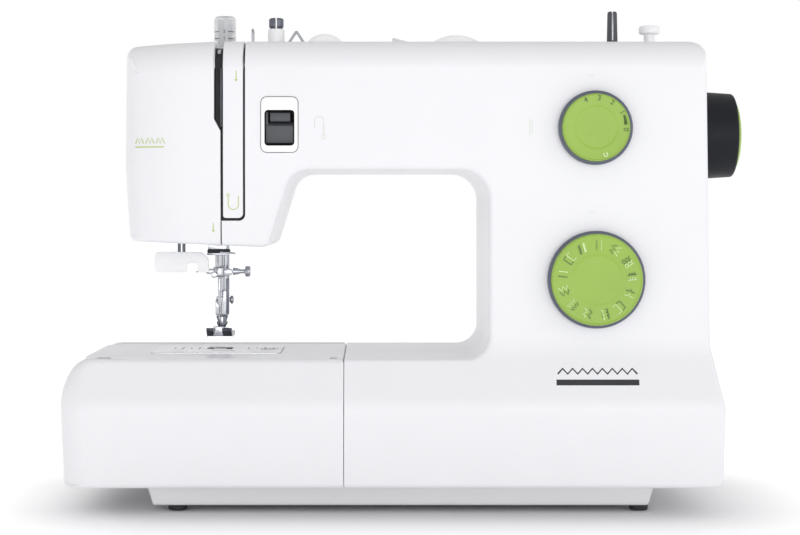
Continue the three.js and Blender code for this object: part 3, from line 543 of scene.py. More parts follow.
def shifting_colour(tree, color, variation, scale, stretch=(1, 1, 1)):
    """The colour, a little darker and lighter from place to place."""
    mix = tree.nodes.new("ShaderNodeMix")
    mix.data_type = "RGBA"
    mix.inputs["A"].default_value = (*[c * (1 - variation) for c in color], 1)
    mix.inputs["B"].default_value = (*[min(1, c * (1 + variation)) for c in color], 1)
    factor = spread(tree, new_noise(tree, scale, 3, stretch), 0, 1)
    tree.links.new(factor, mix.inputs["Factor"])
    return mix.outputs["Result"]


def surface(name, color, roughness, metallic=0.0, grain=2600, relief=0.12, variation=0.02,
            patch=35, uneven=0.05, stretch=(1, 1, 1), **inputs):
    """A finished surface: patchy colour, uneven gloss and a fine grain of its own."""
    material = new_material(name, color, roughness, metallic, **inputs)
    tree = material.node_tree
    shader = tree.nodes["Principled BSDF"]
    tree.links.new(shifting_colour(tree, color, variation, patch, stretch), shader.inputs["Base Color"])
    gloss = spread(tree, new_noise(tree, patch * 4, 4, stretch), max(0.02, roughness - uneven),
        min(1, roughness + uneven))
    tree.links.new(gloss, shader.inputs["Roughness"])
    bump = new_node(tree, "Bump", Strength=relief, Distance=0.00004,
        Height=new_noise(tree, grain, 3, stretch))
    tree.links.new(bump.outputs["Normal"], shader.inputs["Normal"])
    return material


BRUSHED_X = (0.06, 1, 1)
BRUSHED_Y = (1, 0.06, 1)
BRUSHED_Z = (1, 1, 0.06)

WHITE = surface("white_plastic", (0.80, 0.80, 0.825), 0.3, relief=0.03, variation=0.006, uneven=0.02)
BRIGHT = surface("bright_plastic", (0.88, 0.88, 0.89), 0.24, relief=0.03, variation=0.006, uneven=0.02)
SATIN = surface("satin_plastic", (0.72, 0.72, 0.745), 0.42, grain=1800, relief=0.25)
GREEN = surface("green_plastic", (0.285, 0.45, 0.055), 0.3, variation=0.03, uneven=0.04)
RING = surface("ring_plastic", (0.092, 0.105, 0.145), 0.36, variation=0.05)
DARK = surface("dark_plastic", (0.008, 0.009, 0.0135), 0.5, grain=1500, relief=0.3, variation=0.12,
    **{"Specular IOR Level": 0.22})
BLACK = surface("black_plastic", (0.006, 0.006, 0.009), 0.55, variation=0.15)
GREY = surface("grey_plastic", (0.06, 0.062, 0.07), 0.4, grain=1600, relief=0.3, variation=0.05)
RUBBER = surface("rubber", (0.03, 0.031, 0.035), 0.7, grain=1100, relief=0.5, variation=0.15)
CHROME = surface("chrome", (0.52, 0.53, 0.57), 0.16, 1.0, grain=900, relief=0.1, variation=0.05,
    stretch=BRUSHED_Z)
DARK_CHROME = surface("dark_chrome", (0.13, 0.137, 0.165), 0.28, 0.85, grain=900, variation=0.12,
    stretch=BRUSHED_Y)
STEEL = surface("steel", (0.42, 0.43, 0.46), 0.32, 1.0, grain=1200, relief=0.25, variation=0.08,
    stretch=BRUSHED_X)
PLATE = surface("plated_steel", (0.80, 0.80, 0.82), 0.3, 0.55, grain=1400, relief=0.2, variation=0.03,
    stretch=BRUSHED_Y)
CAST = surface("cast_metal", (0.36, 0.37, 0.38), 0.55, 0.8, grain=600, relief=0.7, variation=0.12)
MOTOR = surface("motor_metal", (0.22, 0.225, 0.23), 0.45, 0.7, grain=1500, relief=0.3, variation=0.1,
    stretch=BRUSHED_X)
CLEAR = surface("clear_plastic", (0.93, 0.94, 0.955), 0.2, variation=0.02,
    **{"Transmission Weight": 0.72, "IOR": 1.46})
GLASS = surface("bulb_glass", (0.96, 0.95, 0.92), 0.12, variation=0.02,
    **{"Transmission Weight": 0.9, "IOR": 1.45})
GREEN_INK = surface("green_print", (0.50, 0.60, 0.22), 0.4, grain=4000, variation=0.06)
PALE_INK = surface("pale_print", (0.66, 0.69, 0.60), 0.4, grain=4000, variation=0.05)
DARK_INK = surface("dark_print", (0.02, 0.021, 0.026), 0.42, grain=4000, variation=0.15)
OLIVE_INK = surface("olive_print", (0.10, 0.185, 0.035), 0.4, grain=4000, variation=0.1)
LIGHT_INK = surface("light_print", (0.62, 0.78, 0.36), 0.4, grain=4000, variation=0.05)


# ------------------------ main casing

_, BASE_RIGHT, BASE_FRONT, _, SKIRT_BOTTOM, BODY_TOP = edges_of("front_cover")
HEAD_LEFT, FACE_SEAM, BODY_FRONT, BODY_BACK, HEAD_LOW, _ = edges_of("face_cover")
BASE_BACK = edges_of("rear_cover")[3]
TRAY_SEAM = edges_of("accessory_tray")[1] + SEAM
BED_TOP = edges_of("accessory_tray")[5]
PANEL_LEFT, PANEL_RIGHT = edges_of("thread_channel_cover")[:2]
HEAD_RIGHT = -81.4  # lower right corner of the head
COLUMN_LEFT = 44.5
COLUMN_RIGHT = 171.5
ARM_UNDERSIDE = 197.5
PANEL_BOTTOM = 170.0
PANEL_GAP = 1.2  # the wide, dark seam round the threading panel
SKIRT_CREASE = 64.0
SLOPE_TOP = 97.0
NEEDLE = (-114.8, -2.5)
PRESSER = (-112.0, 5.5)
FEED = edges_of("feed_dog")
FEED_SIDES = [(-122, -119), (-110.8, -107.6)]
SLOT_BACK = 11.0  # the take-up slot ends this far in front of SPLIT_Y
SLOT_LEFT = FACE_SEAM - 3.7

EDGE = 3.0  # fillet along the casing's outer edges
TOP_EDGE = 16.0  # the large rounding along the top
TINY = 0.45  # fillet along a moulded seam


def front_height(x, z):
    """Front face of the casing: upright tower, sloped skirt, head leaning in below."""
    tower = SPLIT_Y - BODY_FRONT
    skirt = SPLIT_Y - BASE_FRONT
    slope = (tower - skirt) / (SLOPE_TOP - SKIRT_CREASE)
    level = skirt + bend(z, [(SKIRT_CREASE, slope, 5), (SLOPE_TOP, -slope, 9)])
    return level - head_lean(x, z)


LEAN_TOP = 201.0
LEAN = 0.045


def head_lean(x, z):
    """The head's lower part leans in a little below a soft crease."""
    share = max(0.0, min(1.0, (-35 - x) / 30))
    share = share * share * (3 - 2 * share)
    return share * LEAN * (-bend(-z, [(-LEAN_TOP, -1, 3)])) if z > 120 else 0.0


def rear_height(x, z):
    tower = BODY_BACK - SPLIT_Y
    skirt = BASE_BACK - SPLIT_Y
    slope = (tower - skirt) / (SLOPE_TOP - SKIRT_CREASE)
    return skirt + bend(z, [(SKIRT_CREASE, slope, 6), (SLOPE_TOP, -slope, 9)])


def head_bottom(x):
    """Height of the head's bottom edge, which falls gently to the right."""
    share = (x - (HEAD_LEFT + 3)) / (HEAD_RIGHT - (HEAD_LEFT + 3))
    return HEAD_LOW + 2.4 - share * 3.6


def base_corners():
    return [(TRAY_SEAM, SKIRT_BOTTOM, 0.8, EDGE), (BASE_RIGHT - 1.5, SKIRT_BOTTOM, 6, EDGE),
        (BASE_RIGHT, 62.5, 12, EDGE), (COLUMN_RIGHT, SLOPE_TOP, 14, EDGE),
        (COLUMN_RIGHT - 2.3, BODY_TOP, 9, TOP_EDGE)]


def harp_corners():
    return [(HEAD_RIGHT, head_bottom(HEAD_RIGHT), 5, EDGE), (-67.7, ARM_UNDERSIDE, 13, EDGE),
        (COLUMN_LEFT, ARM_UNDERSIDE, 16, EDGE), (COLUMN_LEFT, BED_TOP, 13, 2.0),
        (TRAY_SEAM, BED_TOP, 0.8, TINY)]


CREASE_ROWS = [SKIRT_CREASE + 1.25 * k for k in range(-5, 6)]
CREASE_ROWS += [SLOPE_TOP + 1.5 * k for k in range(-7, 8)]
LEAN_ROWS = [LEAN_TOP + 1.5 * k for k in range(-3, 4)] + [160, 170, 180, 190]


BODY_WALL = 2.2
PANEL_WALL = 1.8

# openings through the covers, each (x0, x1, y0, y1, z0, z1); the last is a round hole for a rod
WINDER_SLOT = (118.6, 135, -16.2, -7.8, 255, 300)
TENSION_SLOT = (-64.2, -35.4, -42.5, -32.5, 255, 300)
WIDTH_SLOT = (1.4, 53.4, -45, -33, 255, 300)
HANDLE_WELL = (-59, 59, -7, 42.6, 259.9, 300)
LIFTER_SLOT = (-105, -97, 23, 100, 144, 194)
INLET_WINDOW = (165, 185, 21.7, 50.3, 33.7, 56.3)
SWITCH_WINDOW = (165, 185, -18.3, 4.3, 37.7, 54.3)
BAR_HOLE = ("z", PRESSER, 7.6, 245, 290)


def opening(place):
    if place is BAR_HOLE:
        return rod(*place)
    return block(*place, 1.6, 0.3)


def finish_cover(name, bm, wall, node, *openings):
    """A white moulded cover with a wall thickness in millimetres and openings cut through it."""
    cover = finish_mesh(name, bm, WHITE)
    modify(cover, "SOLIDIFY", thickness=wall * MM, offset=-1)
    cut(cover, *[opening(place) for place in openings])
    weigh_normals(cover)
    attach(cover, "machine")
    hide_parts(node)


def make_front_cover():
    seam = FACE_SEAM + 2 * SEAM
    outline = Outline(base_corners() + [(PANEL_RIGHT + PANEL_GAP, BODY_TOP, 0, TINY),
        (PANEL_RIGHT + PANEL_GAP, PANEL_BOTTOM - PANEL_GAP, 3.5, TINY),
        (seam, PANEL_BOTTOM - PANEL_GAP, 0, TINY), (seam, head_bottom(seam), 0, EDGE)] + harp_corners())
    x0, x1, _, _, z0, z1 = edges_of("reverse_bezel")
    window = Outline(rectangle(x0 - 0.35, x1 + 0.35, z0 - 0.35, z1 + 0.35, 3.7, 0.5), 2).ring(0)
    bm = bmesh.new()
    extra = rows(TRAY_SEAM, BASE_RIGHT, CREASE_ROWS) + rows(seam, 0, LEAN_ROWS, 5)
    shell_half(bm, outline, front_height, FRONT, 0.15, [window], extra, lip=3)
    finish_cover("front_casing", bm, BODY_WALL, "front_cover", WINDER_SLOT, TENSION_SLOT, WIDTH_SLOT,
        SWITCH_WINDOW)


def make_rear_cover():
    seam = FACE_SEAM + 2 * SEAM
    outline = Outline(base_corners() + [(seam, BODY_TOP, 0, TINY),
        (seam, head_bottom(seam), 0, EDGE)] + harp_corners())
    bm = bmesh.new()
    extra = rows(TRAY_SEAM, BASE_RIGHT, CREASE_ROWS)
    shell_half(bm, outline, rear_height, REAR, 0.15, [], extra)
    finish_cover("rear_casing", bm, BODY_WALL, "rear_cover", HANDLE_WELL, LIFTER_SLOT, INLET_WINDOW,
        SWITCH_WINDOW, BAR_HOLE)


def face_height(x, z):
    """The face cover curves back towards its left end."""
    reach = 38.0
    share = max(0.0, min(0.985, (-128 - x) / reach))
    curve = 19.0 * (1 - math.sqrt(1 - share * share))
    return SPLIT_Y - BODY_FRONT - curve - head_lean(x, z)


def face_back_height(x, z):
    share = max(0.0, min(0.985, (-150 - x) / 16.5))
    return BODY_BACK - SPLIT_Y - 8 * (1 - math.sqrt(1 - share * share))


def make_handle_tub():
    """The well in the top of the casing where the carrying handle lies flat."""
    tub = piece("handle_tub", block(-60.4, 60.4, -7.9, 44, 258, BODY_TOP - 2.3, 3, 0.4), WHITE,
        "machine", "white_plastic")
    carve(tub, opening(HANDLE_WELL))


def make_face_cover():
    low_left = (HEAD_LEFT + 3, HEAD_LOW + 2.4, 5, EDGE)
    high_left = [(HEAD_LEFT + 1, BODY_TOP - 2.6, 7, 9), (HEAD_LEFT, 200, 0, 9)]
    front = Outline([low_left, (FACE_SEAM, head_bottom(FACE_SEAM), 0, TINY),
        (FACE_SEAM, 220, 1.5, TINY), (SLOT_LEFT, 227, 2, TINY),
        (SLOT_LEFT, BODY_TOP, 0, TOP_EDGE)] + high_left, 2.5)
    rear = Outline([low_left, (FACE_SEAM, head_bottom(FACE_SEAM), 0, TINY),
        (FACE_SEAM, BODY_TOP, 0, TOP_EDGE)] + high_left, 2.5)
    bm = bmesh.new()
    grid = [(HEAD_LEFT + 2.5 * k,
        z) for k in range(24) for z in [150 + 6 * j for j in range(20)] + LEAN_ROWS]
    shell_half(bm, front, face_height, FRONT, SLOT_BACK, [], grid)
    shell_half(bm, rear, face_back_height, REAR, -SLOT_BACK, [], grid)
    finish_cover("face_casing", bm, PANEL_WALL, "face_cover", BAR_HOLE)


def make_channel_cover():
    outline = Outline([(PANEL_LEFT, PANEL_BOTTOM + SEAM, 1.5, TINY),
        (PANEL_RIGHT, PANEL_BOTTOM + SEAM, 2.6, TINY), (PANEL_RIGHT, BODY_TOP, 0, TOP_EDGE),
        (PANEL_LEFT, BODY_TOP, 0, TINY)], 2.5)
    bm = bmesh.new()
    extra = rows(PANEL_LEFT, PANEL_RIGHT, LEAN_ROWS, 3)
    shell_half(bm, outline, front_height, FRONT, 12.5, [], extra)
    finish_cover("thread_channel_casing", bm, PANEL_WALL, "thread_channel_cover")


# ------------------------ tray, free arm and base

def oval_end(x_end, z_start, wide, high, top, steps=7):
    """Outline corners up the tray's left end: a quarter ellipse to the top."""
    corners = []
    for k in range(steps + 1):
        angle = math.pi / 2 * k / steps
        x = x_end + wide * (1 - math.cos(angle))
        z = z_start + high * math.sin(angle)
        corners.append((x, min(z, top), 0, 14 - 10.5 * k / steps))
    return corners[::-1]


def tray_outline():
    x0, x1, _, _, z0, z1 = edges_of("accessory_tray")
    return Outline([(x0 + 2.2, z0, 5, EDGE), (x1, z0, 0.8, TINY), (x1, z1, 2.5, EDGE)] + oval_end(x0,
        z1 - 28, 17, 28, z1), 3.0)


def tray_back(x, z):
    back = edges_of("accessory_tray")[3] - SPLIT_Y
    return back + bend(z, [(SKIRT_CREASE, -9 / 26, 5)])


def arm_plan(grow=0.0):
    x0, x1, y0, y1 = edges_of("free_arm_cover")[:4]
    round_end = 14 + grow
    return [(x0 - grow, y0 - grow, round_end), (x1 + 9, y0 - grow, 0.01), (x1 + 9, y1 + grow, 0.01),
        (x0 - grow, y1 + grow, round_end)]


def lid_hole():
    x0, x1, y0, y1, _, z1 = edges_of("tray_lid")
    return slab("xy", rectangle(x0 - 0.3, x1 + 0.3, y0 - 0.6, y1 + 0.3), z1 - 2.6, z1 + 5, 1, 0.01)


def make_tray():
    x0, x1, y0, y1, z0, z1 = edges_of("accessory_tray")
    arm = edges_of("free_arm_cover")
    bm = bmesh.new()
    extra = rows(x0 + 20, x1, CREASE_ROWS)
    shell_half(bm, tray_outline(), front_height, FRONT, 0, [], extra)
    shell_half(bm, tray_outline(), tray_back, REAR, 0, [], extra)
    tray = finish_mesh("tray", bm, WHITE)
    space = slab("xy", arm_plan(0.5), -5, 120, fillet=0.01)
    front = block(-184, x1 - 3, y0 + 4, arm[2] - 3, z0 + 3, 62, 3, 2)
    rear = block(-184, x1 - 3, arm[3] + 3.2, y1 - 4, z0 - 4, 62, 3, 2)
    cut(tray, space, front, rear, lid_hole())
    floor = block(-180, x1 - 4, -71.5, -61.5, z0 + 8, z1 + 4, 1, 0.3)
    cut(tray, floor)
    shade(tray, 28)
    modify(tray, "BEVEL", width=0.35 * MM, segments=2, limit_method="ANGLE",
        angle_limit=math.radians(48), harden_normals=False)
    tray.name = "tray_casing"
    weigh_normals(tray)
    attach(tray, "tray")
    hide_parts("accessory_tray")


def make_tray_lid():
    x0, x1, y0, y1, z0, z1 = edges_of("tray_lid")
    lid = piece("tray_cover_panel", slab("xy", rectangle(x0, x1, y0, y1), z0, z1, 1.2, 0.3), WHITE,
        "lid", "white_plastic", "tray_lid")
    middle = (x0 + x1) / 2
    scoop = slab("xy", rectangle(middle - 9, middle + 9, y1 - 1.4, y1 + 3), z1 - 1, z1 + 3, 1.2, 0.01)
    carve(lid, scoop)


def make_free_arm():
    x0, x1, y0, y1, z0, z1 = edges_of("free_arm_cover")
    plan = [(x0, y0, 14), (x1, y0, 0.3), (x1, y1, 0.3), (x0, y1, 14)]
    arm = finish_mesh("free_arm_casing", slab("xy", plan, z0, z1, fillet=1.6), WHITE)
    inner = [(x0 + 3, y0 + 3, 11), (x1 + 4, y0 + 3, 0.3), (x1 + 4, y1 - 3, 0.3), (x0 + 3, y1 - 3, 11)]
    hollow = slab("xy", inner, z0 - 6, z1 - 3, fillet=0.4)
    px0, px1, py0, py1, pz0, _ = edges_of("needle_plate")
    bed = rectangle(px0 - 0.4, px1 + 0.4, py0 - 0.5, py1 + 0.4)
    recess = slab("xy", bed, pz0 - 0.3, z1 + 9, 3, 0.01)
    well = slab("xy", [(a + (4 if a < -100 else -4), b + (4 if b < 0 else -4)) for a, b in bed], 80,
        z1 + 9, 2, 0.01)
    dx0, dx1, _, _, dz0, dz1 = edges_of("bobbin_door")
    door = block(dx0 - 0.3, dx1 + 0.3, y0 - 3, y0 + 6, dz0 - 0.3, dz1 + 0.3, 3.3, 0.01)
    carve(arm, hollow, recess, well, door)
    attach(arm, "machine")
    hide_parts("free_arm_cover")


def make_bobbin_door():
    x0, x1, y0, y1, z0, z1 = edges_of("bobbin_door")
    door = piece("hook_door", block(x0, x1, y0, y1, z0, z1, 3, 0.5), BRIGHT, "machine", "white_plastic",
        "bobbin_door")
    middle = (x0 + x1) / 2
    scoop = block(middle - 7, middle + 7, y0 - 4, y0 + 1.3, z1 - 8, z1 + 0.6, 3.2, 0.01)
    carve(door, scoop)


def make_needle_plate():
    x0, x1, y0, y1, z0, z1 = edges_of("needle_plate")
    plate = piece("stitch_plate", slab("xy", rectangle(x0, x1, y0, y1), z0, z1, 3, 0.35), PLATE,
        "machine", "steel", "needle_plate")
    needle_x = NEEDLE[0]
    slots = [(needle_x - 3.4, needle_x + 3.4, NEEDLE[1] - 1, NEEDLE[1] + 1)]
    slots += [(a - 0.5, b + 0.5, FEED[2] - 2.6, FEED[3] + 2.6) for a, b in FEED_SIDES]
    slots.append((-118.1, -111.5, 2.8, 15.6))
    for a0, a1, b0, b1 in slots:
        corners = rectangle(a0, a1, b0, b1)
        cut(plate, slab("xy", corners, z0 - 3, z1 + 3, 0.9, 0.01))
    shade(plate, 30)
    marks = bmesh.new()
    for side in (-1, 1):
        for k in range(4):
            x = needle_x + side * (15 + 5 * k) + 2.5
            reach = 4.5 if k % 2 else 7
            block(x - 0.28, x + 0.28, 4 - reach, 4 + reach, z1 - 0.05, z1 + 0.07, 0.1, 0.02, into=marks)
    for k in range(3):
        block(-90, -81 + 2 * k, -8 + 6 * k, -7.3 + 6 * k, z1 - 0.05, z1 + 0.07, 0.1, 0.02, into=marks)
    piece("plate_marks", marks, DARK_INK, "machine", "dark_plastic")


def make_plate_insert():
    """The sliding cover in front of the needle slot, over the bobbin."""
    _, _, y0, _, _, z1 = edges_of("needle_plate")
    middle = NEEDLE[0] + 0.9
    wide = 20.5
    corners = [(middle - wide, y0 + 0.9, 1.5), (middle + wide, y0 + 0.9, 1.5),
        (middle + wide - 3, -14.4, 3), (middle - wide + 3, -14.4, 3)]
    piece("plate_insert", slab("xy", corners, z1 - 0.3, z1 + 0.9, 1.5, 0.35), BRIGHT, "machine",
        "white_plastic")


def make_base_plate():
    x0, x1, y0, y1, z0, z1 = edges_of("base_plate")
    corners = [(x0 + 4, z0, 2), (x1 - 4, z0, 2), (x1, z1, 0.5), (x0, z1, 0.5)]
    piece("bottom_plate", slab("xz", corners, y0, y1, 1, 2.0), BRIGHT, "machine", "white_plastic",
        "base_plate")
    ribs = bmesh.new()
    for k in range(9):
        x = x0 + 34 + k * 30
        block(x, x + 14, y1 - 2, y1 + 0.3, z0 + 4, z0 + 6.2, 1, 0.2, into=ribs)
    piece("bottom_vents", ribs, SATIN, "machine", "white_plastic")


def make_feet():
    for name in [n for n in nodes if n.startswith("foot_")]:
        x0, x1, y0, y1, z0, z1 = edges_of(name)
        centre = middle_of(x0, x1, y0, y1)
        r = (x1 - x0) / 2
        profile = [(0, z0 + 0.5), (r * 0.5, z0 + 0.5, 0.3), (r * 0.62, z0, 0.3), (r - 0.9, z0, 0.5),
            (r, z0 + 1, 0.6), (r - 0.3, z1), (0, z1)]
        bm = lathe("z", centre, soft(profile))
        piece("pad_" + name, bm, RUBBER, "machine", "rubber", name)


# ------------------------ dials and handwheel

def dial_place(centre, face):
    """Places flat figures (radius outward, sideways) on a dial facing the user."""
    def place(radius, side, lift, angle):
        a = math.radians(angle)
        x = centre[0] + radius * math.cos(a) - side * math.sin(a)
        z = centre[1] + radius * math.sin(a) + side * math.cos(a)
        return x, face - lift, z
    return place


def make_dial(ring_node, cap_node, body, middle_share):
    x0, x1, y0, y1, z0, z1 = edges_of(ring_node)
    centre = middle_of(x0, x1, z0, z1)
    ring_r = (x1 - x0) / 2
    cx0, cx1, face, cap_back = edges_of(cap_node)[:4]
    cap_r = (cx1 - cx0) / 2
    ring = [(0, y0 + 1.4), (cap_r - 3, y0 + 1.4), (cap_r - 1, y0 + 0.2), (ring_r - 0.9, y0 + 0.05, 0.6),
        (ring_r, y0 + 0.9, 0.5), (ring_r, -71.8), (7, -71.8), (7, y1), (0, y1)]
    piece(ring_node + "_ring", lathe("y", centre, soft(ring), 128), RING, body, "ring_plastic",
        ring_node)
    cap = [(0, face + 0.75), (cap_r * middle_share, face + 0.75, 1.2),
        (cap_r * (middle_share + 0.05), face + 0.5, 1.2), (cap_r * 0.945, face + 0.34, 0.6),
        (cap_r * 0.96, face, 0.3), (cap_r * 0.975, face + 0.15, 0.4), (cap_r, face + 1.7, 1),
        (cap_r, cap_back - 0.6, 0.4), (cap_r - 2, cap_back), (0, cap_back)]
    piece(cap_node + "_disc", lathe("y", centre, soft(cap, 0.4, 4), 128), GREEN, body, "green_plastic",
        cap_node)
    return centre, face + 0.2, cap_r


def draw(name, material, body, slot, strokes, width=0.5):
    """One printed piece from strokes, each a (path, place) pair."""
    bm = bmesh.new()
    for path, place in strokes:
        ribbon(bm, path, width, place)
    return piece(name, bm, material, body, slot)


def figure(text, size, place, name, material, body, slot):
    """A generic figure from the built-in font, laid on a surface."""
    curve = bpy.data.curves.new(name, "FONT")
    curve.body = text
    curve.size = size
    curve.align_x = "CENTER"
    curve.align_y = "CENTER"
    curve.offset = size * 0.012
    source = bpy.data.objects.new(name, curve)
    bpy.context.scene.collection.objects.link(source)
    graph = bpy.context.evaluated_depsgraph_get()
    mesh = bpy.data.meshes.new_from_object(source.evaluated_get(graph))
    bpy.data.objects.remove(source)
    bm = bmesh.new()
    bm.from_mesh(mesh)
    for vert in bm.verts:
        vert.co = place(vert.co.x, vert.co.y)
    return piece(name, bm, material, body, slot)


def zigzag(turns, reach, swing):
    return [(-reach + 2 * reach * k / turns, swing * (1 if k % 2 else -1)) for k in range(turns + 1)]


def arc(radius, start, end, steps=10):
    return [(radius * math.cos(math.radians(start + (end - start) * k / steps)),
        radius * math.sin(math.radians(start + (end - start) * k / steps))) for k in range(steps + 1)]


def stitch_symbols(reach):
    """Thirteen plain stitch patterns, each a list of strokes along the radius."""
    bar = [[(-reach, 0), (reach, 0)]]
    bracket = [[(-reach, -1.4), (-reach, 0.9), (reach, 0.9), (reach, -1.4)]]
    dots = [[(-reach + 1.2 * k, 0), (-reach + 1.2 * k + 0.7, 0)] for k in range(5)]
    scallops = [[(-reach + 1.9 * k + 0.95 + x, y) for x, y in arc(0.95, 180, 0)] for k in range(3)]
    comb = [[(-reach, 0), (reach, 0)]] + [[(-reach + 1.4 * k, 0),
        (-reach + 1.4 * k, 1.4)] for k in range(1, 4)]
    teeth = [zigzag(6, reach, 0.9)]
    wide = [zigzag(4, reach, 1.25)]
    step = [[(-reach, 0), (-0.6, 0), (-0.1, 1.4), (0.6, 0), (reach, 0)]]
    double = [zigzag(5, reach, 0.7), [(-reach, -1.4), (reach, -1.4)]]
    return [dots, [[(-reach, 0.5), (reach, -0.5)], [(-reach, 1.1), (reach, 0.1)]], bracket, bar, wide,
        teeth, [zigzag(3, reach, 0.9)], scallops, bracket, step, comb, double, wide]


def make_pattern_figures(centre, face, cap_r):
    place = dial_place(centre, face)
    radius = cap_r * 0.755
    symbols = stitch_symbols(cap_r * 0.1)
    dark, light = [], []
    for k, symbol in enumerate(symbols):
        angle = 90 + 360 / len(symbols) * k
        for path in symbol:
            dark.append((path, lambda a, b, h, t=angle: place(radius + a, b + 0.5, h, t)))
            light.append((path, lambda a, b, h, t=angle: place(radius + a, b - 2.3, h, t)))
    draw("stitch_symbols_dark", OLIVE_INK, "stitch_dial", "dark_plastic", dark, 0.62)
    draw("stitch_symbols_light", LIGHT_INK, "stitch_dial", "green_plastic", light, 0.55)


def make_length_figures(centre, face, cap_r):
    place = dial_place(centre, face)
    radius = cap_r * 0.86
    for text, angle in (("4", 111.5), ("3", 84.5), ("2", 57.5), ("1", 30.5), ("0", -4.5)):
        def on_dial(x, y, t=angle):
            return place(radius + y, -x, 0.08, t)
        figure(text, 4.1, on_dial, "length_figure_" + text, OLIVE_INK, "length_dial", "dark_plastic")
    bm = bmesh.new()
    for k in range(9):
        angle = 23 - 2.1 * k
        ribbon(bm, [(-0.2 - 0.09 * k, 0), (0.9, 0)], 0.85, lambda a, b, h,
            t=angle: place(radius + a, b, h, t))
    piece("length_wedge", bm, OLIVE_INK, "length_dial", "dark_plastic")
    mark = [([(-1.1, -0.9), (1.1, -0.9)], lambda a, b, h: place(radius - 0.4 + a, b, h, -71.5)),
        ([(-1.1, 0.9), (1.1, 0.9)], lambda a, b, h: place(radius - 0.4 + a, b, h, -71.5)),
        ([(1.1, -0.9), (1.1, 0.9)], lambda a, b, h: place(radius - 0.4 + a, b, h, -71.5))]
    draw("length_mark", LIGHT_INK, "length_dial", "green_plastic", mark, 0.7)


def make_handwheel():
    x0, _, y0, y1, z0, z1 = edges_of("handwheel")
    centre = middle_of(y0, y1, z0, z1)
    r = (z1 - z0) / 2
    _, tip = edges_of("handwheel_cap")[:2]
    profile = [(0, x0), (r - 1, x0, 0.3), (r, x0 + 1, 0.6), (r - 1.4, tip - 5.6, 1.6),
        (r - 3, tip - 4.6, 1.4), (21.6, tip - 4.6, 0.4), (21.2, tip - 6), (0, tip - 6)]
    piece("hand_wheel", lathe("x", centre, soft(profile, 0.5, 8), 144), DARK, "drive", "dark_plastic",
        "handwheel")
    dome = [(0, tip), (10, tip - 0.8), (17, tip - 2.2), (20.4, tip - 3.4, 0.8), (20.9, tip - 4.4, 0.4),
        (20.9, tip - 5.8), (0, tip - 5.8)]
    piece("hand_wheel_cap", lathe("x", centre, soft(dome, 2, 5), 144), GREEN, "drive", "green_plastic",
        "handwheel_cap")


# ------------------------ needle, presser and threader

def make_needle_bar():
    x0, x1, y0, y1, z0, z1 = edges_of("needle_bar")
    centre = NEEDLE
    piece("needle_rod", rod("z", centre, (x1 - x0) / 2, z0, z1, 0.4), CHROME, "needle_slide", "chrome",
        "needle_bar")
    x0, x1, y0, y1, z0, z1 = edges_of("needle_clamp")
    profile = [(0, z0), (3.1, z0, 0.6), (4, z0 + 1.2, 0.6), (4, z1 - 0.9, 0.6), (3.3, z1), (0, z1)]
    bm = lathe("z", centre, soft(profile, 0.5))
    block(centre[0] + 1, x1, y0 + 1.6, y1 - 1.6, z0 + 1.2, z1 - 1.4, 1.6, 0.5, into=bm)
    rod("y", (centre[0] - 3, z0 + 1.6), 1.9, y0 - 1.2, y0 + 2, 0.4, into=bm)
    tube(smooth_path([(centre[0] - 3, centre[1] - 3, z0 + 4.8),
        (centre[0] - 7.6, centre[1] - 3, z0 + 4.8), (centre[0] - 7.6, centre[1] - 3, z0 + 2.6),
        (centre[0] - 4, centre[1] - 3, z0 + 2.4)], 1.2), 0.55, into=bm)
    piece("needle_holder", bm, CHROME, "needle_slide", "steel", "needle_clamp")
    x0, x1, _, _, z0, z1 = edges_of("needle")
    shank = [(0, z0), (0.12, z0 + 0.3), (0.42, z0 + 3), (0.5, z0 + 12), (0.75, z0 + 15), (1.1, z0 + 19),
        (1.1, z1), (0, z1)]
    needle = piece("sewing_needle", lathe("z", centre, soft(shank, 0.6), 24), CHROME, "needle_slide",
        "chrome", "needle")
    cut(needle, block(centre[0] - 0.16, centre[0] + 0.16, centre[1] - 2, centre[1] + 2, z0 + 3.4,
        z0 + 5, 0.14, 0.01))


def make_clamp_screw():
    x0, x1, y0, y1, z0, z1 = edges_of("needle_clamp_screw")
    centre = middle_of(y0, y1, z0, z1)
    profile = [(0, x0), (2.3, x0, 0.3), (1.9, x0 + 3, 0.8), (1.25, x0 + 4.6, 0.5), (1.25, x1 - 3.6),
        (3.1, x1 - 3.2, 0.5), (3.2, x1 - 0.5, 0.5), (2.5, x1), (0, x1)]
    bm = lathe("x", centre, soft(profile, 0.4))
    knurl = bmesh.new()
    for k in range(24):
        angle = TURN * k / 24
        rod("x", (centre[0] + 2.95 * math.cos(angle), centre[1] + 2.95 * math.sin(angle)), 0.26, x1 - 3,
            x1 - 0.7, 0.1, 8, into=knurl)
    piece("clamp_thumbscrew", bm, CHROME, "clamp_screw", "steel", "needle_clamp_screw")
    piece("clamp_thumbscrew_knurl", knurl, STEEL, "clamp_screw", "steel")


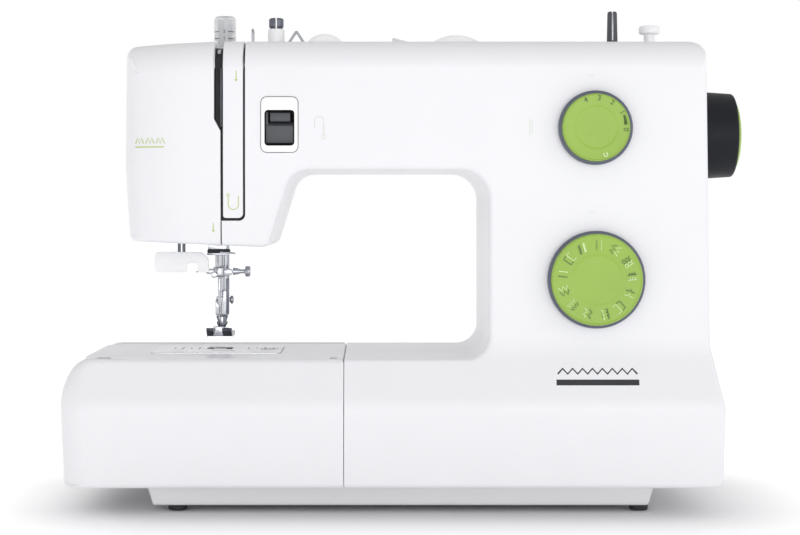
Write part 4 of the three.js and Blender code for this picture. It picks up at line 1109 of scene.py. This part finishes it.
def make_presser():
    x0, x1, y0, y1, z0, z1 = edges_of("presser_bar")
    bm = rod("z", PRESSER, 2.8, z0, z1, 0.4)
    block(PRESSER[0] - 4, PRESSER[0] + 4, PRESSER[1] - 3.4, PRESSER[1] + 4.6, 186, 192, into=bm)
    piece("presser_rod", bm, CHROME, "presser", "chrome", "presser_bar")
    x0, x1, y0, y1, z0, z1 = edges_of("presser_ankle")
    corners = [(x0, z0), (x1, z0), (x1, z1), (x0 + 3.4, z1), (x0 + 3.4, z0 + 10.6), (x0, z0 + 9.4)]
    bm = slab("xz", corners, y0, y1, 0.7, 0.45, 2)
    rod("y", (x0 + 2.4, z0 + 8.4), 1.0, y0 - 0.5, y0 + 1, 0.3, into=bm)
    tube(smooth_path([(x0 + 2.4, y0 - 0.6, z0 + 6.5), (x0 + 0.6, y0 - 1.6, z0 + 9.2),
        (x0 + 1.6, y0 - 2.2, z0 + 11.6), (x0 + 3.2, y0 - 1.2, z0 + 11.4)], 1.3), 0.5, into=bm)
    piece("ankle_block", bm, CHROME, "presser", "chrome", "presser_ankle")
    # a dark strip down the ankle's right side: painted shade on its shadowed side
    piece("ankle_painted_shade", block(x1 - 1.7, x1 + 0.1, y0 - 0.3, y0 + 1.2, z0 + 0.8, z1 + 7, 0.5, 0.3),
        DARK_CHROME, "presser", "chrome")
    x0, x1, y0, y1, z0, z1 = edges_of("presser_foot_holder")
    waist = [(x0 + 1.8, z0), (x1 - 1.8, z0), (x1 - 0.4, z0 + 2.8), (x1 - 1.2, z0 + 4), (x1, z1),
        (x0, z1), (x0 + 1.2, z0 + 4), (x0 + 0.4, z0 + 2.8)]
    piece("foot_clip", slab("xz", waist, y0, y1, 0.6, 0.5, 2), DARK_CHROME, "presser", "dark_plastic",
        "presser_foot_holder")
    piece("foot_clip_stripe", block((x0 + x1) / 2 - 0.8, (x0 + x1) / 2 + 0.8, y0 - 0.5, y0 + 0.4,
        z0 + 0.6, z1 - 0.4, 0.5, 0.2), CHROME, "presser", "chrome")


def make_foot():
    x0, x1, y0, y1, z0, z1 = edges_of("presser_foot")
    side = [(y1, z0, 0.8), (y1, z0 + 2.2, 0.8), (-6, z0 + 2.2, 3), (y0 + 2, z1 - 0.1, 1),
        (y0, z1 - 1.2, 0.5), (-10, z0, 4)]
    foot = piece("foot_sole", slab("yz", side[::-1], x0, x1, 1, 0.4, 2), DARK_CHROME, "presser",
        "chrome", "presser_foot")
    middle = NEEDLE[0]
    hole = slab("xy", rectangle(middle - 3.8, middle + 3.8, NEEDLE[1] - 2, NEEDLE[1] + 2), 90, 112, 1.2,
        0.01)
    split = block(middle - 2.6, middle + 2.6, y0 - 2, -8, 90, 112, 0.3, 0.01)
    carve(foot, hole, split)
    bridge = block(middle - 3.1, middle + 3.1, y0 + 4.4, y0 + 8, z0 + 0.3, z1 + 0.6, 0.8, 0.5)
    block(-117.5, -110.5, 2.4, 8.6, z0 + 1.5, 102.9, 1, 0.4, into=bridge)
    rod("x", (5.5, 102), 0.9, -118.4, -109.6, 0.2, into=bridge)
    piece("foot_bridge", bridge, CHROME, "presser", "chrome")
    x0, x1, y0, y1, z0, z1 = edges_of("ankle_screw")
    centre = middle_of(y0, y1, z0, z1)
    profile = [(0, x0), (1.6, x0), (1.6, x0 + 0.5), (2.5, x0 + 0.7, 0.3), (2.5, x0 + 2, 0.5),
        (1.4, x0 + 2.5, 0.4), (0, x0 + 2.5)]
    piece("ankle_thumb_screw", lathe("x", centre, soft(profile)), STEEL, "ankle_thumbscrew", "steel",
        "ankle_screw")


def make_head_bracket():
    """The plates that guide the two bars where they leave the head, with a black block between them as
    painted shade.
    """
    x, y = NEEDLE
    bm = block(x - 6.5, x + 4.6, y - 6.5, y + 1, 151, 156, 0.5, 0.3)
    block(x - 7.2, x + 5.4, y - 7, y + 2, 147.6, 149, 0.5, 0.3, into=bm)
    tube(smooth_path([(x + 1, y - 7, 149.4), (x + 8, y - 8.5, 149), (x + 10.4, y - 8.6, 148.6)], 2),
        0.55, into=bm)
    bracket = piece("bar_bracket", bm, CHROME, "machine", "steel")
    # a black block in the gap between the two plates: painted shade
    shadow = piece("bar_bracket_painted_shade", block(x - 6.8, x + 6.6, y - 7.2, y + 1, 148.9, 151.2, 0.6, 0.3),
        BLACK, "machine", "dark_plastic")
    for part in (bracket, shadow):
        for centre in (NEEDLE, PRESSER):
            cut(part, rod("z", centre, 3.1, 140, 170))
        shade(part, 30)


def make_threader():
    x0, x1, y0, y1, z0, z1 = edges_of("needle_threader")
    front, back = -22.0, -19.4
    plate = [(x0, z0, 2), (x0 + 19.6, z0, 0.4), (x0 + 19.6, z0 + 5.4, 0.6), (x0 + 25.8, z0 + 5.4, 0.6),
        (x0 + 25.8, z0, 0.4), (x1, z0, 1), (x1, z0 + 8, 3), (x1 - 4, z0 + 12.2, 4), (x0, z0 + 12.4, 3)]
    bm = slab("xz", plate, front, back, 1, 0.5, 3)
    block(-140, -132, y0, y1, z1 - 4, z1, 1, 0.4, into=bm)
    piece("threader_plate", bm, BRIGHT, "threader", "white_plastic", "needle_threader")
    posts = bmesh.new()
    for x in (-137.4, -134.6):
        rod("z", (x, -20.7), 0.95, z0 + 11.5, z1 - 3, 0.2, 20, into=posts)
    piece("threader_posts", posts, DARK_CHROME, "threader", "chrome")
    piece("threader_hook", tube(smooth_path([(x1 - 6.5, back - 0.6, z0 + 5),
        (x1 - 6.5, back - 0.6, z0 + 0.6), (x1 - 7.4, back - 1.6, z0 + 0.2)], 1), 0.4), DARK_CHROME,
        "threader", "chrome")


def make_take_up():
    x0, x1 = edges_of("take_up_lever")[:2]
    arm = [(-26, 230.6, 3), (-15.6, 233, 5), (-14.4, 240.6, 5), (-60.4, 268, 3), (-65.2, 264.6, 3.4),
        (-63.4, 259.6, 3)]
    lever = piece("thread_lever", slab("yz", arm, x0, x1, 2, 0.6, 4), CHROME, "take_up", "chrome",
        "take_up_lever")
    carve(lever, rod("x", (-61.9, 264.5), 1.3, x0 - 4, x1 + 4))


def make_lifter():
    x0, x1, y0, y1, z0, z1 = edges_of("presser_lifter")
    side = [(y0, z0, 4), (30, z0, 3), (74, z0 + 3.6, 3), (y1, z1 - 1, 2.4), (48, z1, 6), (y0, z1, 4)]
    piece("lift_lever", slab("yz", side, x0, x1, 2, 1.2, 3), GREY, "lifter", "grey_plastic",
        "presser_lifter")


# ------------------------ reverse lever

def make_reverse():
    x0, x1, y0, _, z0, z1 = edges_of("reverse_bezel")
    pocket = rectangle(x0 + 2, x1 - 1.9, 211.6, 232)
    outer = rectangle(x0, x1, z0, z1)
    bezel = piece("reverse_frame", slab("xz", outer, y0, -67, 3.4, 0.5, 4), BRIGHT, "machine",
        "white_plastic", "reverse_bezel")
    roomy = rectangle(x0 + 0.9, x1 - 0.9, 210.4, 233.2)
    carve(bezel, slab("xz", pocket, -90, -60, 2, 0.01), slab("xz", roomy, -71.8, -60, 2, 0.01))
    cup = piece("reverse_pocket", slab("xz", rectangle(x0 + 1.6, x1 - 1.6, z0 + 1.6, z1 - 1.6), -72,
        -58.5, 2.6, 0.3, 4), BLACK, "machine", "dark_plastic")
    carve(cup, slab("xz", pocket, -90, -60.5, 2, 0.01))
    lx0, lx1 = pocket[0][0] + 0.5, pocket[1][0] - 0.5
    bm = slab("yz", [(-70.8, 213.0, 0.6), (-62, 213.9, 1), (-54.4, 219.6, 2), (-54.4, 224.5, 2),
        (-69.2, 225, 0.5), (-71.4, 223, 0.8)], lx0, lx1, 1, 0.5, 3)
    side = [(-73, 225.4, 0.8), (-67, 225.2, 0.8), (-66, 230.9, 1), (-72.8, 230.4, 0.8)]
    slab("yz", side, lx0 + 2.8, lx1 - 1.9, 0.6, 0.35, 2, into=bm)
    slab("yz", [(-71, 222, 0.5), (-66, 222, 0.5), (-66, 231.6, 0.5), (-71, 231, 0.5)], lx0, lx0 + 1.6,
        0.6, 0.3, 2, into=bm)
    piece("reverse_key", bm, GREY, "reverse", "grey_plastic", "reverse_lever")


# ------------------------ top of the arm

def make_thumbwheel(node, name, body, figures):
    x0, x1, y0, y1, z0, z1 = edges_of(node)
    centre = middle_of(x0, x1, z0, z1)
    r = (x1 - x0) / 2
    profile = [(2.6, y0), (r - 1.6, y0, 0.4), (r, y0 + 1.6, 0.6), (r, y1 - 1.6, 0.6),
        (r - 1.6, y1, 0.4), (2.6, y1)]
    piece(name, lathe("y", centre, soft(profile, 0.5), 120), BRIGHT, body, "white_plastic", node)
    teeth = bmesh.new()
    for k in range(48):
        angle = TURN * k / 48
        rod("y", (centre[0] + (r - 0.15) * math.cos(angle), centre[1] + (r - 0.15) * math.sin(angle)),
            0.35, y1 - 5.4, y1 - 1.8, 0.1, 6, into=teeth)
    piece(name + "_grip", teeth, BRIGHT, body, "white_plastic")
    for text, angle in figures:
        lean = math.radians(angle)

        def on_rim(x, y, t=lean):
            turn = t - x / r
            reach = r + 0.06
            return (centre[0] + reach * math.cos(turn), y0 + 3.1 - y * 3.6 * 0.2,
                centre[1] + reach * math.sin(turn))
        label = name + "_mark_" + ("wave" if text == "~" else text)
        figure(text, 4.2, on_rim, label, DARK_INK, body, "dark_plastic")


def make_pressure_knob():
    x0, x1, _, _, z0, z1 = edges_of("pressure_knob")
    centre = PRESSER
    r = (x1 - x0) / 2
    shell = [(r - 2, z0), (r - 0.4, z0, 0.2), (r, z0 + 1), (r, z1 - 1.6, 0.9), (r - 1.4, z1 - 0.3, 0.8),
        (0, z1), (0, z1 - 2), (r - 2.2, z1 - 2.4, 0.8), (r - 2, z0)]
    piece("pressure_button", lathe("z", centre, soft(shell, 0.4), 96), CLEAR, "knob", "clear_plastic",
        "pressure_knob")
    sleeve = [(3.3, z0 + 0.5), (4.2, z0 + 0.5), (4.2, z1 - 3.4), (3.3, z1 - 3.4), (3.3, z0 + 0.5)]
    piece("pressure_button_core", lathe("z", centre, sleeve), BRIGHT, "knob", "white_plastic")
    lines = bmesh.new()
    for level in (283.7, 279.5, 275.3):
        for start, end in ((197, 242), (290, 338)):
            path = [(a, level) for a in range(start, end, 4)]
            ribbon(lines, path_on_arc(path, r), 0.5, lambda a, b, h: on_knob(centre, r, a, b, h))
    piece("pressure_scale", lines, DARK_INK, "knob", "dark_plastic")
    for text, level in (("2", 283.7), ("1", 279.5)):
        def on_front(x, y, z=level):
            return on_knob(centre, r, x + 270 * r * TURN / 360, z + y, 0.06)
        figure(text, 2.6, on_front, "pressure_figure_" + text, DARK_INK, "knob", "dark_plastic")


def path_on_arc(path, r):
    """Degrees to distance along the rim, so that a ribbon keeps its width."""
    return [(a * r * TURN / 360, b) for a, b in path]


def on_knob(centre, r, a, b, height):
    angle = a / r
    return (centre[0] + (r + height) * math.cos(angle), centre[1] + (r + height) * math.sin(angle), b)


def make_top_guides():
    x0, x1, y0, y1, _, z1 = edges_of("bobbin_thread_guide")
    centre = middle_of(x0, x1, y0, y1)
    base = [(0, BODY_TOP - 6), (3, BODY_TOP - 6), (3, BODY_TOP + 0.3), (5, BODY_TOP + 0.3, 0.3),
        (4.9, z1 - 6.6, 0.5), (3, z1 - 6.2), (0, z1 - 6.2)]
    piece("winding_guide_base", lathe("z", centre, soft(base)), BRIGHT, "machine", "white_plastic",
        "bobbin_thread_guide")
    cap = [(0, z1 - 6.4), (3.4, z1 - 6.4, 0.3), (4.4, z1 - 5.2, 0.5), (4.4, z1 - 0.7, 0.5), (3.6, z1),
        (0, z1)]
    disc = piece("winding_guide_discs", lathe("z", centre, soft(cap)), DARK_CHROME, "machine", "steel")
    carve(disc, block(centre[0] - 0.5, centre[0] + 0.5, y0 - 4, y1 + 4, z1 - 6.7, z1 + 2, 0.2, 0.01))
    x0, x1, y0, y1, _, z1 = edges_of("top_thread_guide")
    x = (x0 + x1) / 2
    path = [(x, y0 + 0.9, BODY_TOP - 5), (x, y0 + 0.9, z1 - 0.8), (x, y1 - 0.9, z1 - 0.8),
        (x, y1 - 0.9, BODY_TOP - 0.4)]
    piece("thread_wire", tube(smooth_path(path, 2.2), 0.6), STEEL, "machine", "steel",
        "top_thread_guide")
    make_pretension()


def make_pretension():
    x0, x1, y0, y1, _, z1 = edges_of("pretension_guide")
    centre = middle_of(x0, x1, y0, y1)
    base = [(0, BODY_TOP - 6), (1.8, BODY_TOP - 6), (1.8, BODY_TOP + 0.3), (5.4, BODY_TOP + 0.3),
        (5.6, BODY_TOP + 1.6, 0.5), (4.6, BODY_TOP + 2.4, 0.5), (1.4, BODY_TOP + 2.4),
        (0, BODY_TOP + 2.4)]
    bm = lathe("z", centre, soft(base))
    rim = [(centre[0] - 4.4, centre[1], BODY_TOP + 2.4), (centre[0] - 0.3, centre[1], z1 - 0.8),
        (centre[0] + 0.3, centre[1], z1 - 0.8), (centre[0] + 4.4, centre[1], BODY_TOP + 2.4)]
    tube(smooth_path(rim, 1), 0.75, into=bm)
    piece("pretension_post", bm, STEEL, "machine", "steel", "pretension_guide")


def make_winder():
    x0, x1, y0, y1, z0, z1 = edges_of("bobbin_winder_spindle")
    centre = middle_of(x0, x1, y0, y1)
    profile = [(0, z0), (2, z0), (2, BODY_TOP + 0.4), (5.4, BODY_TOP + 0.4, 0.3),
        (5.6, BODY_TOP + 1.4, 0.4), (3.3, BODY_TOP + 2.6, 0.8), (2.9, z1 - 1), (2.4, z1), (0, z1)]
    spindle = piece("winder_post", lathe("z", centre, soft(profile)), GREY, "winder", "dark_plastic",
        "bobbin_winder_spindle")
    carve(spindle, block(centre[0] - 0.5, centre[0] + 0.5, y0 - 2, y1 + 2, BODY_TOP + 4.4, z1 + 3, 0.3,
        0.01))
    piece("winder_spring", tube(smooth_path([(centre[0], centre[1] - 2.7, BODY_TOP + 3.4),
        (centre[0], centre[1] - 3.3, BODY_TOP + 12), (centre[0], centre[1] - 2.4, z1 - 1.4)], 3), 0.34),
        CHROME, "winder", "chrome")
    x0, x1, y0, y1, z0, z1 = edges_of("bobbin_stop")
    centre = middle_of(x0, x1, y0, y1)
    cap = [(0, z0), (3.4, z0), (3.4, z1 - 5.2, 0.6), (5.9, z1 - 4.9, 0.6), (6.4, z1 - 4.2, 0.5),
        (6.4, z1 - 1.2, 0.7), (5.4, z1, 0.8), (0, z1)]
    piece("winding_stop", lathe("z", centre, soft(cap), 96), BRIGHT, "machine", "white_plastic",
        "bobbin_stop")
    x0, x1, y0, y1, z0, z1 = edges_of("spool_pin")
    centre = middle_of(x0, x1, y0, y1)
    pin = [(0, z0), (4.6, z0), (4.6, z0 + 2), (2.6, z0 + 3), (2.6, z1 - 0.8, 0.5), (2, z1), (0, z1)]
    piece("spool_post", lathe("z", centre, soft(pin)), SATIN, "spool", "white_plastic", "spool_pin")


def make_handle():
    x0, x1, y0, y1, z0, z1 = edges_of("carry_handle")
    top = BODY_TOP - 0.6
    arm = 12.0
    outline = [(x0, y0, 5), (x1, y0, 5), (x1, y1, 2), (x1 - arm, y1, 2), (x1 - arm, y0 + arm, 5),
        (x0 + arm, y0 + arm, 5), (x0 + arm, y1, 2), (x0, y1, 2)]
    bm = slab("xy", outline, z0, top, 2, 1.8, 4)
    lip = [(-9.6, BODY_TOP - 4), (9.3, BODY_TOP - 4), (9.3, BODY_TOP - 0.4), (7, BODY_TOP + 2.6, 4),
        (-8.4, z1, 1.2), (-9.6, z1, 0.5)]
    slab("xz", lip, y0 + 0.6, y0 + 6.4, 0.5, 0.5, 4, into=bm)
    piece("lift_handle", bm, SATIN, "handle", "white_plastic", "carry_handle")


# ------------------------ inlet and switch

def make_inlet():
    x0, x1, y0, y1, z0, z1 = edges_of("power_inlet")
    corners = rectangle(y0, y1, z0, z1)
    inlet = piece("mains_inlet", slab("yz", corners, x0, x1, 2, 0.6, 3), DARK, "machine",
        "dark_plastic", "power_inlet")
    well = rectangle(y0 + 3, y1 - 3, z0 + 3, z1 - 3)
    carve(inlet, slab("yz", well, x0 + 3, x1 + 5, 3, 0.01))
    pins = bmesh.new()
    for k in (-1, 0, 1):
        y = (y0 + y1) / 2 + 5.5 * k
        block(x0 + 2, x1 - 3, y - 0.8, y + 0.8, (z0 + z1) / 2 - 2, (z0 + z1) / 2 + 2, 0.5, 0.3,
            into=pins)
    piece("inlet_pins", pins, STEEL, "machine", "steel")
    x0, x1, y0, y1, z0, z1 = edges_of("power_switch")
    middle = (y0 + y1) / 2
    plan = [(x0, middle - 5, 1), (x1 - 0.2, y0 + 0.2, 0.8), (x1 - 1.6, middle, 6),
        (x1 - 0.2, y1 - 0.2, 0.8), (x0, middle + 5, 1)]
    piece("rocker_key", slab("xy", plan, z0, z1, 1, 0.5, 3), DARK, "rocker", "dark_plastic",
        "power_switch")
    corners = rectangle(y0 - 2.4, y1 + 2.4, z0 - 2.4, z1 + 2.4)
    surround = piece("switch_surround", slab("yz", corners, 170, 179, 2, 0.6, 3), DARK, "machine",
        "dark_plastic")
    corners = rectangle(y0 - 0.5, y1 + 0.5, z0 - 0.5, z1 + 0.5)
    carve(surround, slab("yz", corners, 150, 190, 1, 0.01))


# ------------------------ painted shade in openings, and printed marks

def make_painted_shade_sheets():
    """Black sheets inside the take-up slot and behind the seams of the head: painted shade where these
    openings fall dark.
    """
    centre_y, centre_z, bend_r = BODY_FRONT + TOP_EDGE, BODY_TOP - TOP_EDGE, 12.0
    curve = [(centre_y + a, centre_z + b) for a, b in arc(bend_r, 180, 95, 8)]
    section = curve[::-1] + [(centre_y - bend_r, 166.5), (centre_y - bend_r + 3, 166.5),
        (centre_y - bend_r + 3, centre_z), (centre_y, centre_z + bend_r - 4)]
    bm = slab("yz", section, -116, -92.4, 0.3, 0.1, 4)
    block(-116, -106.6, -66, -22, 158, 164, 1, 0.3, into=bm)
    slot = block(-111.9, -108.1, -80, -66.2, 222, 262, 0.5, 0.01)
    # black sheet behind the head's seams and round the take-up slot: painted shade
    shade_sheet = piece("seam_painted_shade", bm, BLACK, "machine", "dark_plastic")
    cut(shade_sheet, slot)
    # black sheets on the take-up slot's walls: painted shade
    piece("slot_wall_shade_left", slab("yz", [(-70.4, 221), (-40, 221), (-20, 240), (-20, 270.4),
        (-58, 270.4), (-69.8, 259)], SLOT_LEFT - 0.5, SLOT_LEFT - 0.1, 1, 0.05), BLACK, "machine",
        "dark_plastic")
    piece("slot_wall_shade_right", slab("yz", [(-69.6, 221), (-40, 221), (-20, 240), (-20, 270), (-57, 270),
        (-69, 259)], PANEL_LEFT + 0.4, PANEL_LEFT + 0.9, 1, 0.05), BLACK, "machine", "dark_plastic")
    piece("slot_thread_guide", block(-108.75, -108.25, -69.8, -68.6, 222.5, 256, 0.2, 0.1), DARK_CHROME,
        "machine", "chrome")


def on_front(x, z, lift):
    return x, SPLIT_Y - front_height(x, z) - lift, z


def on_face(x, z, lift):
    return x, SPLIT_Y - face_height(x, z) - lift, z


def shifted(path, x, z, scale=1.0):
    return [(x + a * scale, z + b * scale) for a, b in path]


def arrow_head(x, z, size):
    return [(x - size, z + size * 1.3), (x, z), (x + size, z + size * 1.3)]


def u_turn(x, z, half, high, bottom=True):
    bend_path = arc(half, 180, 360) if bottom else arc(half, 180, 0)
    sign = 1 if bottom else -1
    return ([(x - half, z + sign * high)] + [(x + a, z + b) for a,
        b in bend_path] + [(x + half, z + sign * high)])


def make_marks():
    panel = PANEL_LEFT + 8.0
    strokes = [([(panel - 0.4, 254.5), (panel - 0.4, 249)], on_front),
        (arrow_head(panel - 0.4, 248.6, 0.8), on_front),
        (u_turn(PANEL_LEFT + 5.9, 178, 2.9, 5), on_front),
        (arrow_head(PANEL_LEFT + 3, 184.2, -0.9), on_front),
        ([(-112.9, 167.3), (-112.9, 163)], on_face), (arrow_head(-112.9, 162.4, 0.7), on_face)]
    draw("threading_arrows", GREEN_INK, "machine", "green_plastic", strokes, 0.55)
    pale = [(u_turn(-52.3, 225.8, 2.6, 4, False), on_front), ([(-49.7, 222), (-49.7, 218)], on_front),
        (arc_around(-49.7, 216.6, 1.1), on_front), ([(68, 227.6), (68, 217.4)], on_front),
        ([(69.3, 226.4), (69.3, 218.8)], on_front), ([(101.9, 252.2), (103.2, 251.4), (105, 252.2)],
        on_front), ([(101.9, 174), (103.2, 173.2), (105, 174)], on_front)]
    draw("pale_symbols", PALE_INK, "machine", "green_plastic", pale, 0.4)


def arc_around(x, z, radius):
    return [(x + a, z + b) for a, b in arc(radius, 0, 360, 14)]


def make_generic_badges():
    """A plain stitch line on the head and a plain stitched band on the base."""
    strokes = []
    for k in range(3):
        x = -155.6 + 6.2 * k
        strokes.append((shifted(zigzag(4, 2.4, 1.6), x, 214.6), on_face))
    strokes.append(([(-158.2 + 2.15 * k, 211) for k in range(9)], on_face))
    draw("stitch_line_badge", GREEN_INK, "machine", "green_plastic", strokes, 0.75)
    bm = bmesh.new()
    left, right, low, high = 82.6, 129.6, 75.4, 78.6
    path = [(left + (right - left) * k / 12, (low + high) / 2) for k in range(13)]
    ribbon(bm, path, high - low, on_front)
    ribbon(bm, shifted(zigzag(16, 22.6, 1.5), (left + right) / 2, 83.2), 1.0, on_front)
    piece("stitch_band_badge", bm, DARK_INK, "machine", "dark_plastic")


# ------------------------ carried-over CAD nodes

INNER_FINISHES = {
    "frame_casting": CAST,
    "main_shaft": STEEL,
    "lower_shaft": STEEL,
    "timing_belt": RUBBER,
    "motor_belt": RUBBER,
    "motor": MOTOR,
    "motor_pulley": STEEL,
    "hook_race": STEEL,
    "hook": STEEL,
    "bobbin_case": CHROME,
    "bobbin": CLEAR,
    "feed_dog": STEEL,
    "lamp_socket": GREY,
    "lamp_bulb": GLASS,
}


def finish_inner_parts():
    for name, material in INNER_FINISHES.items():
        slots = nodes[name].data.materials
        slots.clear()
        slots.append(material)


def build():
    make_front_cover()
    make_rear_cover()
    make_handle_tub()
    make_face_cover()
    make_channel_cover()
    make_tray()
    make_tray_lid()
    make_free_arm()
    make_bobbin_door()
    make_needle_plate()
    make_plate_insert()
    make_base_plate()
    make_feet()
    make_length_figures(*make_dial("stitch_length_dial", "stitch_length_cap", "length_dial", 0.6))
    make_pattern_figures(*make_dial("pattern_dial", "pattern_cap", "stitch_dial", 0.52))
    make_handwheel()
    make_needle_bar()
    make_clamp_screw()
    make_presser()
    make_foot()
    make_head_bracket()
    make_threader()
    make_take_up()
    make_lifter()
    make_reverse()
    make_thumbwheel("tension_dial", "tension_wheel", "tension", [("4", 92)])
    make_thumbwheel("stitch_width_dial", "width_wheel", "width_dial", [("0", 98), ("~", 88)])
    make_pressure_knob()
    make_top_guides()
    make_winder()
    make_handle()
    make_inlet()
    make_painted_shade_sheets()
    make_marks()
    make_generic_badges()
    finish_inner_parts()


make_camera()
build()


# ------------------------ stage and light

def make_area_light(name, location, target, size, power):
    data = bpy.data.lights.new(name, "AREA")
    data.shape = "RECTANGLE"
    data.size, data.size_y = size
    data.energy = power
    light = bpy.data.objects.new(name, data)
    light.location = location
    aim = Vector(target) - Vector(location)
    light.rotation_euler = aim.to_track_quat("-Z", "Y").to_euler()
    bpy.context.scene.collection.objects.link(light)


def vector_math(tree, operation, *values):
    """One step of vector arithmetic on sockets or fixed vectors."""
    node = tree.nodes.new("ShaderNodeVectorMath")
    node.operation = operation
    for socket, value in zip(node.inputs, values):
        if isinstance(value, bpy.types.NodeSocket):
            tree.links.new(value, socket)
        else:
            socket.default_value = value
    return node.outputs["Value" if operation == "LENGTH" else "Vector"]


HALF_BASE = (0.13, 0.04, 0)


def paint_floor_shadow(tree, shader):
    """Painted contact shadow: the floor's glow fades out round the machine's base, so the floor darkens
    there as if in the machine's shade.
    """
    place = new_node(tree, "TexCoord").outputs["Object"]
    beyond = vector_math(tree, "SUBTRACT", vector_math(tree, "ABSOLUTE", place), HALF_BASE)
    distance = vector_math(tree, "LENGTH", vector_math(tree, "MAXIMUM", beyond))
    glow = new_node(tree, "MapRange", From_Max=0.15, To_Max=0.52, Value=distance)
    glow.interpolation_type = "SMOOTHSTEP"
    # painted shadow: the floor glows less the nearer it is to the machine's base
    tree.links.new(glow.outputs["Result"], shader.inputs["Emission Strength"])


def make_floor():
    """A plain white floor that glows a little, with a painted contact shadow where the glow fades round
    the machine.
    """
    bm = bmesh.new()
    bmesh.ops.create_grid(bm, x_segments=2, y_segments=2, size=90000)
    paint = new_material("floor_white", (0.8, 0.8, 0.81), 0.9)
    shader = paint.node_tree.nodes["Principled BSDF"]
    shader.inputs["Emission Color"].default_value = (1, 1, 1, 1)
    # painted contact shadow round the machine's base
    paint_floor_shadow(paint.node_tree, shader)
    shader.inputs["Specular IOR Level"].default_value = 0.0
    finish_mesh("floor", bm, paint)


def make_world():
    """White all round at eye level, dimmer overhead."""
    world = bpy.data.worlds.new("world")
    world.use_nodes = True
    tree = world.node_tree
    place = new_node(tree, "TexCoord").outputs["Generated"]
    split = new_node(tree, "SeparateXYZ", Vector=place)
    ramp = new_node(tree, "MapRange", From_Min=0.14, From_Max=0.42, To_Min=1.0, To_Max=0.69,
        Value=split.outputs["Z"])
    tree.links.new(ramp.outputs["Result"], tree.nodes["Background"].inputs["Strength"])
    tree.nodes["Background"].inputs["Color"].default_value = (1, 1, 1, 1)
    bpy.context.scene.world = world


def make_stage():
    make_floor()
    make_world()
    make_area_light("front_softbox", (0.6, -2.2, 0.4), (0.05, 0, 0.1), (2.2, 1.0), 6)
    make_area_light("low_softbox", (-0.1, -2.4, 0.12), (-0.04, 0, 0.02), (2.8, 0.3), 4)
    make_area_light("side_softbox", (1.9, -1.2, 0.9), (0, 0, 0.14), (1.0, 1.0), 3)
    bpy.context.scene.view_settings.view_transform = "Standard"


make_stage()
